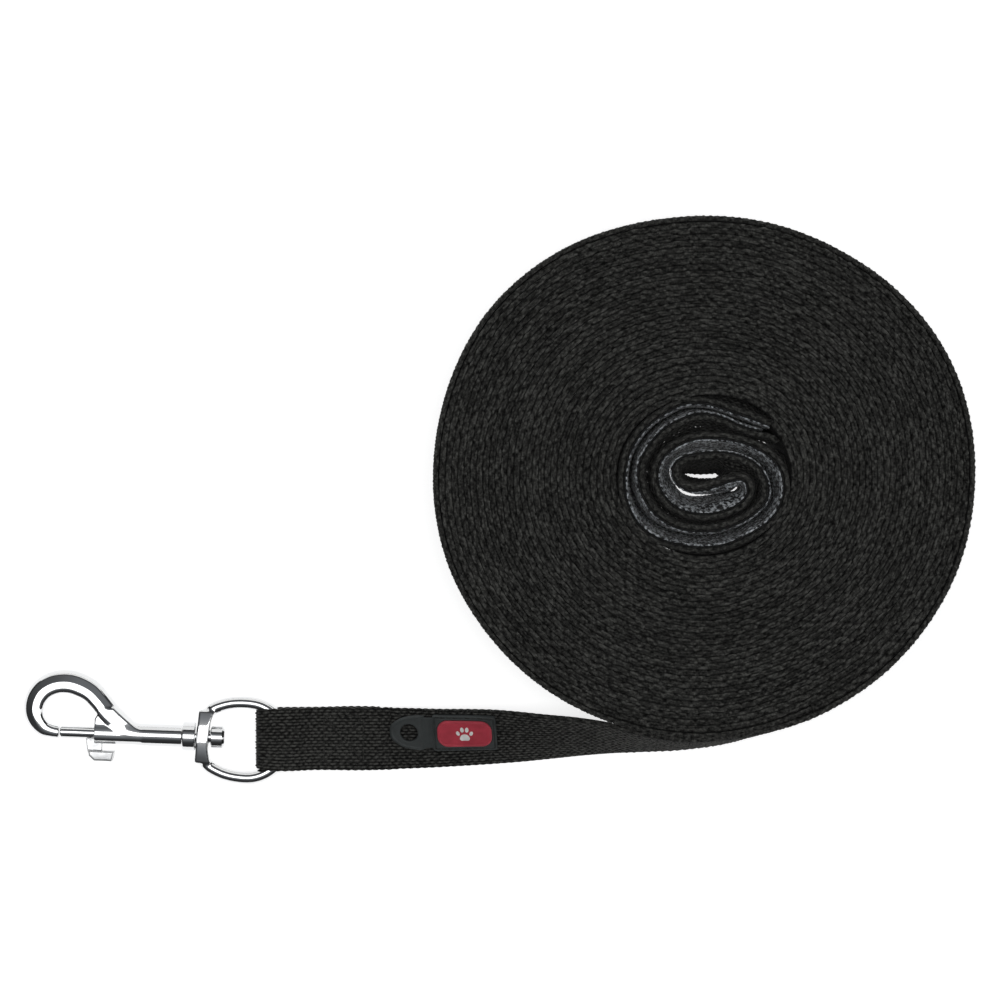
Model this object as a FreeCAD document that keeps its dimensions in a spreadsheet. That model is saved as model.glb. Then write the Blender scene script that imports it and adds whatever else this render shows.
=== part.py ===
# Training leash: a flat woven strap wound on its edge into a spiral, with a
# padded hand loop rolled up in the middle and a swivel bolt snap sewn to the
# free end.  Millimetres, +Z up, resting on z = 0, origin at the middle of the
# underside of the bounding box, +X from the snap towards the coil.
import FreeCAD, Part

import math
import os

import Sketcher

V = FreeCAD.Vector
Rot = FreeCAD.Rotation
Pla = FreeCAD.Placement

doc = FreeCAD.newDocument("TrainingLeash")

# ---------------------------------------------------------------- sizes ----
SIZES = [
    ("strap_width", 20.0, "webbing width"),
    ("strap_thick", 2.0, "webbing thickness"),
    ("shift_x", 1.33, "moves the model so that the box is centred on the origin"),
    ("shift_y", 0.72, "the same, along Y"),
    # coil
    ("coil_x", 64.5, "turning centre of the coil"),
    ("coil_y", 4.1, "turning centre of the coil"),
    ("core_half_x", 29.7, "half width of the opening in the coil that holds the rolled hand loop"),
    ("core_half_y", 27.3, "half height of the same opening"),
    ("core_x", 64.5, "middle of that opening"),
    ("core_y", 7.45, "middle of that opening"),
    ("lining_thick", 1.5, "foam lining of the hand loop"),
    # snap
    ("axis_z", 4.75, "height of the snap's own axis above the surface"),
    ("snap_x", -95.03, "middle of the eye's front bar"),
    ("snap_y", -75.96, "middle of the eye's front bar"),
    ("snap_tilt", -2.0, "direction of the snap's axis, degrees"),
    ("eye_tilt", -5.0, "direction of the eye, degrees"),
    ("barrel_len", 31.6, "barrel with its rear collar"),
    ("barrel_rad", 3.6, "barrel radius"),
    ("collar_rad", 4.7, "collar radius"),
    ("collar_len", 2.2, "collar length"),
    ("collar_taper", 1.0, "cone between barrel and collar"),
    ("bore_rad", 2.25, "bore for the sliding bolt"),
    ("bore_len", 27.6, "depth of that bore"),
    ("bolt_rad", 2.0, "sliding bolt radius"),
    ("bolt_len", 20.1, "sliding bolt length"),
    ("bolt_out", 11.1, "how far the bolt stands out of the barrel when closed"),
    ("bolt_edge", 0.4, "chamfer on the bolt's ends"),
    ("bolt_travel", 11.0, "bolt travel"),
    ("slot_wide", 2.8, "slot for the thumb catch"),
    ("slot_len", 14.2, "slot length"),
    ("post_thick", 2.4, "thumb catch post"),
    ("pad_thick", 5.2, "thumb catch pad"),
    ("spring_wire", 0.25, "spring wire radius"),
    ("spring_rad", 1.6, "spring mean radius"),
    ("spring_pitch", 1.6, "spring pitch"),
    ("spring_len", 17.6, "spring length with the bolt shut"),
    ("shank_rad", 2.1, "rivet shank radius"),
    ("shank_len", 9.8, "rivet shank length"),
    ("head_rad", 3.75, "rivet head radius"),
    ("head_len", 4.3, "rivet head length"),
    ("head_edge", 0.7, "rounding of the rivet head"),
    ("eye_ring_rad", 11.8, "radius of the eye ring's centre line"),
    ("eye_ring_x", 14.9, "centre of the ring, from the front bar"),
    ("eye_wire", 2.05, "radius of the ring's wire"),
    ("eye_hole", 2.6, "radius of the hole that turns on the rivet"),
    ("eye_bar_high", 7.4, "height of the flattened front bar"),
    # sewn end
    ("fold_x", -73.85, "centre of the turn in the fold"),
    ("fold_y", -77.0, "middle of the sewn end"),
    ("fold_in", 2.4, "inner radius of the turn in the fold"),
    ("fold_width", 17.0, "the fold is pinched where it passes through the eye"),
    ("flex_x", -58.5, "line on which the doubled strap bends"),
    ("flex_rad", 2.0, "half thickness of the doubled strap"),
    ("tail_end", -37.7, "cut end of the folded tail"),
    # label
    ("label_tilt", 15.0, "the strap leans by this much under the label"),
    ("label_yaw", 2.2, "direction of the strap under the label, degrees"),
    ("badge_long", 21.0, "badge"),
    ("badge_wide", 11.3, "badge"),
    ("badge_thick", 1.6, "badge"),
    ("tab_long", 13.4, "tab with its hinge strip"),
    ("tab_thick", 1.4, "tab"),
    ("tab_hole", 2.85, "radius of the hole in the tab"),
    ("emblem_thick", 0.35, "emblem"),
    ("thread", 0.3, "how proud the sewing stands"),
]
sheet = doc.addObject("Spreadsheet::Sheet", "Sizes")
for i, (alias, value, note) in enumerate(SIZES, 1):
    sheet.set("A%d" % i, "'" + alias)
    sheet.set("B%d" % i, repr(value))
    sheet.setAlias("B%d" % i, alias)
    sheet.set("C%d" % i, "'" + note)
doc.recompute()


def size(alias):
    return float(sheet.get(alias))


SX, SY = size("shift_x"), size("shift_y")
NODES = []  # the objects that are written out, one per node


def node(obj, label):
    obj.Label = label
    NODES.append(obj)
    return obj


# ------------------------------------------------------------- helpers ----
def new_body(name):
    return doc.addObject("PartDesign::Body", name)


def plane(body, role):
    for f in body.Origin.OriginFeatures:
        if f.Role == role:
            return f
    raise RuntimeError(role)


def new_sketch(body, name, role="XY_Plane", offset=None):
    sk = body.newObject("Sketcher::SketchObject", name)
    sk.AttachmentSupport = [(plane(body, role), "")]
    sk.MapMode = "FlatFace"
    if offset is not None:
        sk.AttachmentOffset = offset
    return sk


def polygon(sk, pts, bind=None):
    """Closed polygon; bind maps (vertex, 'x' or 'y') to an expression."""
    first = sk.GeometryCount
    n = len(pts)
    for i in range(n):
        a, b = pts[i], pts[(i + 1) % n]
        sk.addGeometry(Part.LineSegment(V(a[0], a[1], 0), V(b[0], b[1], 0)), False)
    for i in range(n):
        sk.addConstraint(
            Sketcher.Constraint("Coincident", first + i, 2, first + (i + 1) % n, 1)
        )
    for (i, axis), expr in (bind or {}).items():
        kind = "DistanceX" if axis == "x" else "DistanceY"
        value = pts[i][0] if axis == "x" else pts[i][1]
        c = sk.addConstraint(Sketcher.Constraint(kind, -1, 1, first + i, 1, value))
        sk.setExpression("Constraints[%d]" % c, expr)
    return first


def rectangle(sk, x0, y0, x1, y1, bind=None):
    """Axis-parallel rectangle; corners 0 (x0, y0), 1, 2 (x1, y1), 3."""
    f = polygon(sk, [(x0, y0), (x1, y0), (x1, y1), (x0, y1)], bind)
    for k, kind in ((0, "Horizontal"), (1, "Vertical"), (2, "Horizontal"), (3, "Vertical")):
        sk.addConstraint(Sketcher.Constraint(kind, f + k))
    return f


def circle(sk, x, y, r, expr=None):
    g = sk.addGeometry(Part.Circle(V(x, y, 0), V(0, 0, 1), r), False)
    c = sk.addConstraint(Sketcher.Constraint("Radius", g, r))
    if expr:
        sk.setExpression("Constraints[%d]" % c, expr)
    return g


def spline(sk, pts, closed=False):
    c = Part.BSplineCurve()
    c.interpolate([V(p[0], p[1], 0) for p in pts], PeriodicFlag=closed)
    return sk.addGeometry(c, False)


def pad(body, sk, expr, mid=False, name="Pad"):
    p = body.newObject("PartDesign::Pad", name)
    p.Profile = sk
    p.setExpression("Length", expr)
    if mid:
        p.Midplane = True
    doc.recompute()
    return p


def pocket(body, sk, expr, mid=True, name="Pocket", reverse=False):
    before = body.Shape.Volume
    p = body.newObject("PartDesign::Pocket", name)
    p.Profile = sk
    p.setExpression("Length", expr)
    p.Midplane = mid
    p.Reversed = reverse
    doc.recompute()
    if not p.Shape.Volume < before - 1e-6:
        raise RuntimeError("%s cut nothing" % name)
    return p


def turned(body, sk, cut=False, name="Turned"):
    """Revolves a sketch about the body's X axis."""
    before = body.Shape.Volume if cut else 0.0
    kind = "PartDesign::Groove" if cut else "PartDesign::Revolution"
    r = body.newObject(kind, name)
    r.Profile = sk
    r.ReferenceAxis = (sk, ["H_Axis"])
    r.Angle = 360.0
    doc.recompute()
    if cut and not r.Shape.Volume < before - 1e-6:
        raise RuntimeError("%s cut nothing" % name)
    return r


def rounded(body, feature, pick, radius, name="Round"):
    """Fillets the edges of the feature that pick() accepts."""
    edges = [
        "Edge%d" % (i + 1) for i, e in enumerate(feature.Shape.Edges) if pick(e)
    ]
    f = body.newObject("PartDesign::Fillet", name)
    f.Base = (feature, edges)
    if isinstance(radius, str):
        f.setExpression("Radius", radius)
    else:
        f.Radius = radius
    doc.recompute()
    return f


def place(obj, x, y, z, yaw=0.0, rot=None):
    obj.Placement = Pla(V(x + SX, y + SY, z), rot or Rot(V(0, 0, 1), yaw))


def snap_point(u, v=0.0):
    """A point in the snap's own frame, in the model's plan."""
    a = math.radians(size("snap_tilt"))
    return (
        size("snap_x") + u * math.cos(a) - v * math.sin(a),
        size("snap_y") + u * math.sin(a) + v * math.cos(a),
    )


def place_snap(obj, u):
    x, y = snap_point(u)
    place(obj, x, y, size("axis_z"), size("snap_tilt"))


# ------------------------------------------------------------ hook body ----
# Cast body: a C-shaped hook that flares into a barrel.  Body frame: x along
# the barrel from its front face, y towards the hook, z up.
hook = new_body("HookBody")
sk = new_sketch(hook, "BarrelProfile")
polygon(
    sk,
    [
        (0, 0),
        (size("barrel_len"), 0),
        (size("barrel_len"), size("collar_rad")),
        (size("barrel_len") - size("collar_len"), size("collar_rad")),
        (size("barrel_len") - size("collar_len") - size("collar_taper"), size("barrel_rad")),
        (0, size("barrel_rad")),
    ],
    {
        (0, "x"): "0",
        (0, "y"): "0",
        (1, "x"): "Sizes.barrel_len",
        (1, "y"): "0",
        (2, "x"): "Sizes.barrel_len",
        (2, "y"): "Sizes.collar_rad",
        (3, "x"): "Sizes.barrel_len - Sizes.collar_len",
        (3, "y"): "Sizes.collar_rad",
        (4, "x"): "Sizes.barrel_len - Sizes.collar_len - Sizes.collar_taper",
        (4, "y"): "Sizes.barrel_rad",
        (5, "x"): "0",
        (5, "y"): "Sizes.barrel_rad",
    },
)
turned(hook, sk, name="Barrel")

# Hook: elliptical sections from the nose round the eye and into the barrel.
# Each is (x, y, heading in degrees, half width in the plan, half height).
HOOK = [
    (-11.5, -0.05, 180, 2.12, 2.2),
    (-14.0, 0.15, 173, 2.2, 2.4),
    (-16.6, 1.05, 147, 2.5, 2.75),
    (-18.7, 3.0, 120, 2.95, 3.0),
    (-19.75, 5.6, 100, 3.35, 3.2),
    (-19.75, 8.4, 82, 3.5, 3.3),
    (-18.6, 11.6, 60, 3.6, 3.3),
    (-16.2, 14.2, 37, 3.75, 3.3),
    (-13.0, 15.75, 14, 3.85, 3.3),
    (-9.6, 16.1, -8, 3.9, 3.3),
    (-5.9, 15.1, -24, 3.85, 3.3),
    (-2.1, 13.1, -38, 3.75, 3.3),
    (1.0, 10.3, -52, 3.9, 3.3),
    (4.2, 7.2, -66, 5.2, 3.3),
    (7.2, 3.9, -80, 7.3, 3.2),
    (8.6, 0.6, -88, 8.4, 2.9),
]
loft_sketches = []
for i, (x, y, head, half_w, half_h) in enumerate(HOOK):
    a = math.radians(head)
    tangent = V(math.cos(a), math.sin(a), 0)
    side = V(-math.sin(a), math.cos(a), 0)
    rot = Rot(side, V(0, 0, 1), tangent, "ZXY")
    sk = new_sketch(hook, "HookSection%02d" % i, offset=Pla(V(x, y, 0), rot))
    if half_w >= half_h:
        e = Part.Ellipse(V(half_w, 0, 0), V(0, half_h, 0), V(0, 0, 0))
    else:
        e = Part.Ellipse(V(0, half_h, 0), V(-half_w, 0, 0), V(0, 0, 0))
    sk.addGeometry(e, False)
    loft_sketches.append(sk)
doc.recompute()
for sk, (x, y, head, half_w, half_h) in zip(loft_sketches, HOOK):
    a = math.radians(head)
    normal = sk.Placement.Rotation.multVec(V(0, 0, 1))
    if normal.dot(V(math.cos(a), math.sin(a), 0)) < 0.999:
        raise RuntimeError("hook section turned the wrong way: %s" % normal)
loft = hook.newObject("PartDesign::AdditiveLoft", "Hook")
loft.Profile = loft_sketches[0]
loft.Sections = [(s, [""]) for s in loft_sketches[1:]]
loft.Ruled = False
doc.recompute()

sk = new_sketch(hook, "BoreProfile")
rectangle(
    sk, 0, 0, size("bore_len"), size("bore_rad"),
    {(0, "x"): "0", (0, "y"): "0", (2, "x"): "Sizes.bore_len", (2, "y"): "Sizes.bore_rad"},
)
turned(hook, sk, cut=True, name="Bore")
sk = new_sketch(hook, "FrontTrim")
rectangle(sk, -6.0, -6.0, 0.0, 5.2)
pocket(hook, sk, "4 * Sizes.collar_rad", name="FrontFace")
sk = new_sketch(hook, "RivetHole")
rectangle(
    sk, size("bore_len") - 1.0, 0, size("barrel_len") + 1.0, size("shank_rad"),
    {(0, "y"): "0", (2, "x"): "Sizes.barrel_len + 1", (2, "y"): "Sizes.shank_rad"},
)
turned(hook, sk, cut=True, name="RivetSeat")
sk = new_sketch(hook, "SlotOutline")
rectangle(
    sk, -1.0, -6.0, size("slot_len"), 0.0,
    {(2, "x"): "Sizes.slot_len"},
)
pocket(hook, sk, "Sizes.slot_wide", name="CatchSlot")
place_snap(hook, -35.0)
node(hook, "hook_body")

# ------------------------------------------------------------ gate bolt ----
bolt = new_body("GateBolt")
sk = new_sketch(bolt, "BoltProfile")
L, R, C = size("bolt_len"), size("bolt_rad"), size("bolt_edge")
polygon(
    sk,
    [(0, 0), (L, 0), (L, R - C), (L - C, R), (C, R), (0, R - C)],
    {
        (0, "x"): "0",
        (0, "y"): "0",
        (1, "x"): "Sizes.bolt_len",
        (1, "y"): "0",
        (2, "x"): "Sizes.bolt_len",
        (2, "y"): "Sizes.bolt_rad - Sizes.bolt_edge",
        (3, "x"): "Sizes.bolt_len - Sizes.bolt_edge",
        (3, "y"): "Sizes.bolt_rad",
        (4, "x"): "Sizes.bolt_edge",
        (4, "y"): "Sizes.bolt_rad",
        (5, "x"): "0",
        (5, "y"): "Sizes.bolt_rad - Sizes.bolt_edge",
    },
)
turned(bolt, sk, name="Bolt")
# flat on the catch's side, which the foot of the thumb catch is riveted to
sk = new_sketch(bolt, "CatchFlat")
f0 = size("bolt_out") - 2.8
rectangle(sk, f0, -3.0, f0 + 5.4, -1.6)
pocket(bolt, sk, "4 * Sizes.bolt_rad", name="Flat")
place_snap(bolt, -35.0 - size("bolt_out"))
node(bolt, "gate_bolt")

# ---------------------------------------------------------- thumb catch ----
catch = new_body("ThumbCatch")
sk = new_sketch(catch, "PostOutline")
polygon(sk, [(-2.8, -1.6), (2.6, -1.6), (2.6, -6.2), (-1.9, -6.2), (-2.8, -3.0)])
pad(catch, sk, "Sizes.post_thick", mid=True, name="Post")
sk = new_sketch(catch, "PadOutline")
polygon(sk, [(-1.8, -5.5), (6.7, -5.5), (5.9, -8.9), (0.2, -8.9), (-1.55, -7.3)])
tip = pad(catch, sk, "Sizes.pad_thick", mid=True, name="Pad")
rounded(
    catch, tip,
    lambda e: e.BoundBox.YMax < -5.6 and e.BoundBox.ZLength < 0.01,
    0.7, name="PadRound",
)
place_snap(catch, -35.0)
node(catch, "thumb_catch")

# ---------------------------------------------------------- bolt spring ----
helix = doc.addObject("Part::Helix", "SpringLine")
helix.setExpression("Pitch", "Sizes.spring_pitch")
helix.setExpression("Height", "Sizes.spring_len")
helix.setExpression("Radius", "Sizes.spring_rad")
wire = doc.addObject("Part::Circle", "SpringWire")
wire.setExpression("Radius", "Sizes.spring_wire")
wire.Placement = Pla(V(size("spring_rad"), 0, 0), Rot(V(1, 0, 0), 90))
spring = doc.addObject("Part::Sweep", "BoltSpring")
spring.Sections = [wire]
spring.Spine = (helix, ["Edge1"])
spring.Solid = True
spring.Frenet = True
doc.recompute()
sx, sy = snap_point(-35.0 + size("bolt_len") - size("bolt_out") + 0.45)
spring.Placement = Pla(
    V(sx + SX, sy + SY, size("axis_z")),
    Rot(V(0, 0, 1), size("snap_tilt")).multiply(Rot(V(0, 1, 0), 90)),
)
node(spring, "bolt_spring")

# --------------------------------------------------------- swivel rivet ----
rivet = new_body("SwivelRivet")
sk = new_sketch(rivet, "RivetProfile")
S, H, E = size("shank_len"), size("head_len"), size("head_edge")
r, R = size("shank_rad"), size("head_rad")
polygon(
    sk,
    [
        (0, 0),
        (S + H - 0.9, 0),
        (S + H, 1.9),
        (S + H, R - E),
        (S + H - E, R),
        (S + 0.3, R),
        (S, R - 0.3),
        (S, r),
        (0, r),
    ],
    {
        (0, "x"): "0",
        (0, "y"): "0",
        (1, "x"): "Sizes.shank_len + Sizes.head_len - 0.9",
        (1, "y"): "0",
        (2, "x"): "Sizes.shank_len + Sizes.head_len",
        (3, "x"): "Sizes.shank_len + Sizes.head_len",
        (3, "y"): "Sizes.head_rad - Sizes.head_edge",
        (4, "x"): "Sizes.shank_len + Sizes.head_len - Sizes.head_edge",
        (4, "y"): "Sizes.head_rad",
        (5, "y"): "Sizes.head_rad",
        (6, "x"): "Sizes.shank_len",
        (7, "x"): "Sizes.shank_len",
        (7, "y"): "Sizes.shank_rad",
        (8, "x"): "0",
        (8, "y"): "Sizes.shank_rad",
    },
)
turned(rivet, sk, name="Rivet")
place_snap(rivet, -35.0 + size("bore_len"))
node(rivet, "swivel_rivet")

# ----------------------------------------------------------- swivel eye ----
# A wire ring whose two arms run straight into a flattened front bar.
eye = new_body("SwivelEye")
RX, RR = size("eye_ring_x"), size("eye_ring_rad")
lean = math.radians(21.5)
open_at = math.pi / 2 + lean
px, py = RX + RR * math.cos(open_at), RR * math.sin(open_at)
bar_y = py - (px + 0.3) * math.tan(lean)
sk = new_sketch(eye, "EyeLine")
sk.addGeometry(Part.LineSegment(V(-0.3, -bar_y, 0), V(px, -py, 0)), False)
sk.addGeometry(
    Part.Arc(V(px, -py, 0), V(RX + RR, 0, 0), V(px, py, 0)), False
)
sk.addGeometry(Part.LineSegment(V(px, py, 0), V(-0.3, bar_y, 0)), False)
path_sketch = sk
d = V(math.cos(lean), -math.sin(lean), 0)  # heading at the first end
prof = new_sketch(
    eye, "EyeWire",
    offset=Pla(V(-0.3, -bar_y, 0), Rot(V(math.sin(lean), math.cos(lean), 0), V(0, 0, 1), d, "ZXY")),
)
circle(prof, 0, 0, size("eye_wire"), "Sizes.eye_wire")
doc.recompute()
pipe = eye.newObject("PartDesign::AdditivePipe", "EyeRing")
pipe.Profile = prof
pipe.Spine = (path_sketch, ["Edge1", "Edge2", "Edge3"])
doc.recompute()
sk = new_sketch(eye, "BarOutline")
sk.addGeometry(Part.Arc(V(-1.6, 8.6, 0), V(-2.6, 0, 0), V(-1.6, -8.6, 0)), False)
sk.addGeometry(Part.LineSegment(V(-1.6, -8.6, 0), V(2.3, -8.0, 0)), False)
sk.addGeometry(Part.Arc(V(2.3, -8.0, 0), V(1.7, 0, 0), V(2.3, 8.0, 0)), False)
sk.addGeometry(Part.LineSegment(V(2.3, 8.0, 0), V(-1.6, 8.6, 0)), False)
pad(eye, sk, "Sizes.eye_bar_high", mid=True, name="FrontBar")
sk = new_sketch(eye, "HoleOutline", role="YZ_Plane")
circle(sk, 0, 0, size("eye_hole"), "Sizes.eye_hole")
pocket(eye, sk, "4 * Sizes.eye_hole", mid=True, name="RivetHole")
place(eye, size("snap_x"), size("snap_y"), size("axis_z"), size("eye_tilt"))
node(eye, "swivel_eye")

# ----------------------------------------------------- fold through eye ----
fold = new_body("StrapFold")
sk = new_sketch(fold, "FoldOutline", role="XZ_Plane")
ri = size("fold_in")
ro = ri + size("strap_thick")
FL = [  # top leg, outer then inner, and the under leg
    ("arc", (0, ro), (-ro, 0), (0, -ro)),
    ("line", (0, -ro), (12.85, -ro)),
    ("line", (12.85, -ro), (12.85, -ri)),
    ("line", (12.85, -ri), (0, -ri)),
    ("arc", (0, -ri), (-ri, 0), (0, ri)),
    ("line", (0, ri), (7.9, ri)),
    ("line", (7.9, ri), (12.85, -2.1)),
    ("line", (12.85, -2.1), (12.85, -0.1)),
    ("line", (12.85, -0.1), (8.7, ro)),
    ("line", (8.7, ro), (0, ro)),
]
for kind, *p in FL:
    p = [V(a[0], a[1], 0) for a in p]
    sk.addGeometry(Part.Arc(*p) if kind == "arc" else Part.LineSegment(*p), False)
pad(fold, sk, "Sizes.fold_width", mid=True, name="Fold")
place(fold, size("fold_x"), size("fold_y"), size("axis_z"))
node(fold, "strap_fold")

# The doubled strap bends on this line when the snap is lifted.
bend = doc.addObject("Part::Cylinder", "StrapBend")
bend.setExpression("Radius", "Sizes.flex_rad")
bend.setExpression("Height", "Sizes.strap_width")
place(
    bend, size("flex_x"), size("fold_y") + size("strap_width") / 2, size("flex_rad"),
    rot=Rot(V(1, 0, 0), 90),
)
node(bend, "strap_bend")

# Folded-back tail under the strap, sewn to it.
tail = doc.addObject("Part::Box", "StrapTail")
tail.setExpression("Length", "Sizes.tail_end - Sizes.flex_x - Sizes.flex_rad - 0.05")
tail.setExpression("Width", "Sizes.strap_width")
tail.setExpression("Height", "Sizes.strap_thick")
place(
    tail, size("flex_x") + size("flex_rad") + 0.05,
    size("fold_y") - size("strap_width") / 2 - 0.4, 0,
)
node(tail, "strap_tail")

# ----------------------------------------------------------- strap lead ----
# From the sewn end past the label, then turning from flat to on edge until it
# joins the coil.  Stations: inner lower edge (x, y, z), heading, lean.
W, T = size("strap_width"), size("strap_thick")
tilt = size("label_tilt")
LEAD = [
    (size("flex_x") + size("flex_rad") + 0.05, -87.0, 2.02, 0.0, 0.0),
    (-38.2, -87.0, 2.02, 0.5, 0.0),
    (-35.9, -86.7, 0.9, 1.0, tilt * 0.5),
    (-33.0, -86.5, 0.0, size("label_yaw"), tilt),
    (-1.0, -86.5 + 32.0 * math.tan(math.radians(size("label_yaw"))), 0.0, size("label_yaw"), tilt),
    (6.0, -84.0, 0.0, 3.8, 25.0),
    (15.2, -82.6, 0.0, 5.0, 39.0),
    (24.0, -81.4, 0.0, 4.0, 50.0),
    (32.0, -80.7, 0.0, 2.8, 60.0),
    (41.0, -80.0, 0.0, 3.0, 69.0),
    (50.6, -79.1, 0.0, 5.0, 77.0),
    (58.0, -78.1, 0.0, 7.0, 84.0),
    (64.5, -77.0, 0.0, 9.0, 90.0),
    (72.84, -75.36, 0.0, 11.0, 90.0),
    (80.97, -73.42, 0.0, 14.5, 90.0),
    (88.24, -71.20, 0.0, 18.5, 90.0),
    (94.75, -68.83, 0.0, 22.5, 90.0),
    (98.87, -67.01, 0.0, 25.0, 90.0),
]
wires = []
for x, y, z, head, lean_deg in LEAD:
    a, b = math.radians(head), math.radians(lean_deg)
    left = V(-math.sin(a), math.cos(a), 0)
    wide = left * math.cos(b) + V(0, 0, math.sin(b))
    up = left * (-math.sin(b)) + V(0, 0, math.cos(b))
    p = V(x, y, z)
    c = [p, p + wide * W, p + wide * W + up * T, p + up * T]
    wires.append(Part.makePolygon(c + [c[0]]))
lead = doc.addObject("Part::Feature", "StrapLead")
lead.Shape = Part.makeLoft(wires, True, True)
place(lead, 0, 0, 0)
node(lead, "strap_lead")

# ------------------------------------------------------------ the coil ----
# Outer outline of the wound strap: angle (degrees, clockwise seen from above,
# from +X) and radius from the turning centre.
OUT = [
    (0, 85.7), (10, 85.2), (20, 84.6), (30, 83.4), (40, 82.6), (50, 81.7),
    (60, 78.6), (70, 78.1), (80, 78.3), (86, 78.6), (100, 79.0), (114, 79.4),
    (127, 80.7), (140, 82.3), (150, 83.1), (160, 84.5), (170, 85.2), (180, 85.7),
    (190, 86.1), (200, 86.9), (210, 87.7), (220, 88.5), (230, 88.0), (240, 87.7),
    (250, 86.6), (260, 85.8), (270, 85.8), (280, 86.1), (290, 86.4), (300, 86.3),
    (310, 87.2), (320, 87.6), (330, 88.1), (340, 87.5), (350, 86.7),
]
coil = new_body("StrapCoil")
sk = new_sketch(coil, "CoilOutline")
pts = [
    (r * math.cos(math.radians(-a)), r * math.sin(math.radians(-a))) for a, r in OUT
]
spline(sk, pts, closed=True)
cx = size("core_x") - size("coil_x")
cy = size("core_y") - size("coil_y")
g = sk.addGeometry(
    Part.Ellipse(
        V(cx + size("core_half_x"), cy, 0), V(cx, cy + size("core_half_y"), 0), V(cx, cy, 0)
    ),
    False,
)
pad(coil, sk, "Sizes.strap_width", name="Coil")
place(coil, size("coil_x"), size("coil_y"), 0)
node(coil, "strap_coil")

# --------------------------------------------------- rolled-up hand loop ----
# The loop is pressed flat and rolled up: its lining faces itself, and the
# strap runs on the outside of the lining.  LOOP is the lining's middle line,
# in millimetres in the model's plan, from the sewn joint round the roll to the
# loop's far end and back.
LOOP = [
    (80.68, 27.10), (76.10, 28.24), (72.30, 28.90), (66.45, 30.70), (60.50, 30.75), (54.9, 29.3),
    (49.36, 24.63), (45.6, 21.2), (42.71, 18.42), (40.6, 15.0), (40.05, 11.33), (39.2, 8.2), (39.60, 5.12),
    (40.3, 1.0), (41.82, -1.98), (43.8, -5.6), (45.81, -8.19), (48.2, -10.4), (51.14, -11.74), (54.6, -13.2),
    (58.23, -14.40), (61.8, -15.0), (65.33, -14.85), (69.8, -14.3), (73.76, -12.63), (77.4, -11.0),
    (80.41, -8.64), (83.2, -6.6), (85.73, -4.20), (87.6, -1.6), (88.84, 1.56), (89.6, 4.0), (89.28, 6.44), (88.5, 9.4),
    (86.62, 11.77), (84.5, 14.1), (81.74, 15.76), (79.0, 17.4), (75.98, 18.42), (73.0, 19.4),
    (69.77, 19.75), (66.3, 20.2), (62.67, 19.75), (59.4, 18.8), (56.46, 16.65), (54.0, 14.9), (51.58, 12.21), (50.4, 10.0),
    (50.25, 7.33), (50.4, 5.1), (51.58, 2.90), (53.0, 0.8), (54.69, -0.65), (57.2, -1.9), (60.01, -2.42), (62.8, -2.9),
    (65.33, -2.87), (68.8, -2.4), (71.54, -1.53), (74.2, -0.6), (76.1, 0.8), (77.4, 2.3), (77.5, 3.9), (76.2, 5.0),
    (74.2, 5.4), (71.6, 5.1), (69.0, 4.1), (66.5, 3.4), (63.2, 2.9), (60.6, 3.1), (58.0, 3.9), (55.9, 5.3),
    (54.4, 7.4), (53.9, 9.6), (54.6, 11.8), (56.0, 13.4), (58.3, 14.9), (60.6, 15.9), (64.0, 16.5), (67.4, 16.7),
    (70.6, 16.5), (74.1, 15.9), (77.2, 14.6), (80.2, 13.1), (82.6, 10.9), (84.4, 8.2), (85.3, 5.0), (85.2, 1.9),
    (83.8, -1.0), (81.9, -3.2), (79.6, -5.3), (76.6, -7.4), (73.2, -8.9), (70.0, -10.2), (66.4, -11.0), (62.4, -11.1),
    (58.0, -10.9), (54.6, -9.9), (51.3, -8.3), (48.5, -6.3), (46.0, -3.8), (44.3, -0.9), (43.4, 2.4), (42.8, 5.6),
    (42.9, 9.2), (43.7, 12.6), (44.9, 15.4), (47.0, 18.4), (49.7, 21.2), (52.6, 23.8), (56.6, 25.9), (61.0, 27.3),
    (66.4, 27.2), (70.6, 26.0), (75.3, 24.6), (79.3, 24.0),
]
spine = Part.BSplineCurve()
spine.interpolate([V(x, y, 0) for x, y in LOOP])


def ribbon(curve, d0, d1, n, s0=0.0, s1=1.0):
    """Outline between two offsets of a plane curve, as two splines."""
    a, b = curve.FirstParameter, curve.LastParameter
    ts = [a + (b - a) * (s0 + (s1 - s0) * i / (n - 1)) for i in range(n)]
    rows = []
    for d in (d0, d1):
        row = []
        for t in ts:
            p = curve.value(t)
            g = curve.tangent(t)[0]
            row.append(V(p.x - g.y * d, p.y + g.x * d, 0))
        rows.append(row)
    edges = []
    for row in rows:
        c = Part.BSplineCurve()
        c.interpolate(row)
        edges.append(c)
    ends = [
        Part.LineSegment(rows[0][0], rows[1][0]),
        Part.LineSegment(rows[0][-1], rows[1][-1]),
    ]
    return edges, ends


def ribbon_body(name, label, d0, d1, n, s0, s1):
    body = new_body(name)
    sk = new_sketch(body, name + "Outline")
    edges, ends = ribbon(spine, d0, d1, n, s0, s1)
    for g in edges + ends:
        sk.addGeometry(g, False)
    pad(body, sk, "Sizes.strap_width", name=name + "Pad")
    place(body, 0, 0, 0)
    return node(body, label)


half = size("lining_thick") / 2
# anticlockwise roll: the strap is on the right of the lining's line
ribbon_body("LoopLining", "hand_loop_lining", half, -half, 170, 0.012, 0.988)
ribbon_body(
    "LoopStrap", "hand_loop_strap", -half - 0.03, -half - 0.03 - T, 170, 0.0, 1.0
)

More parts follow.
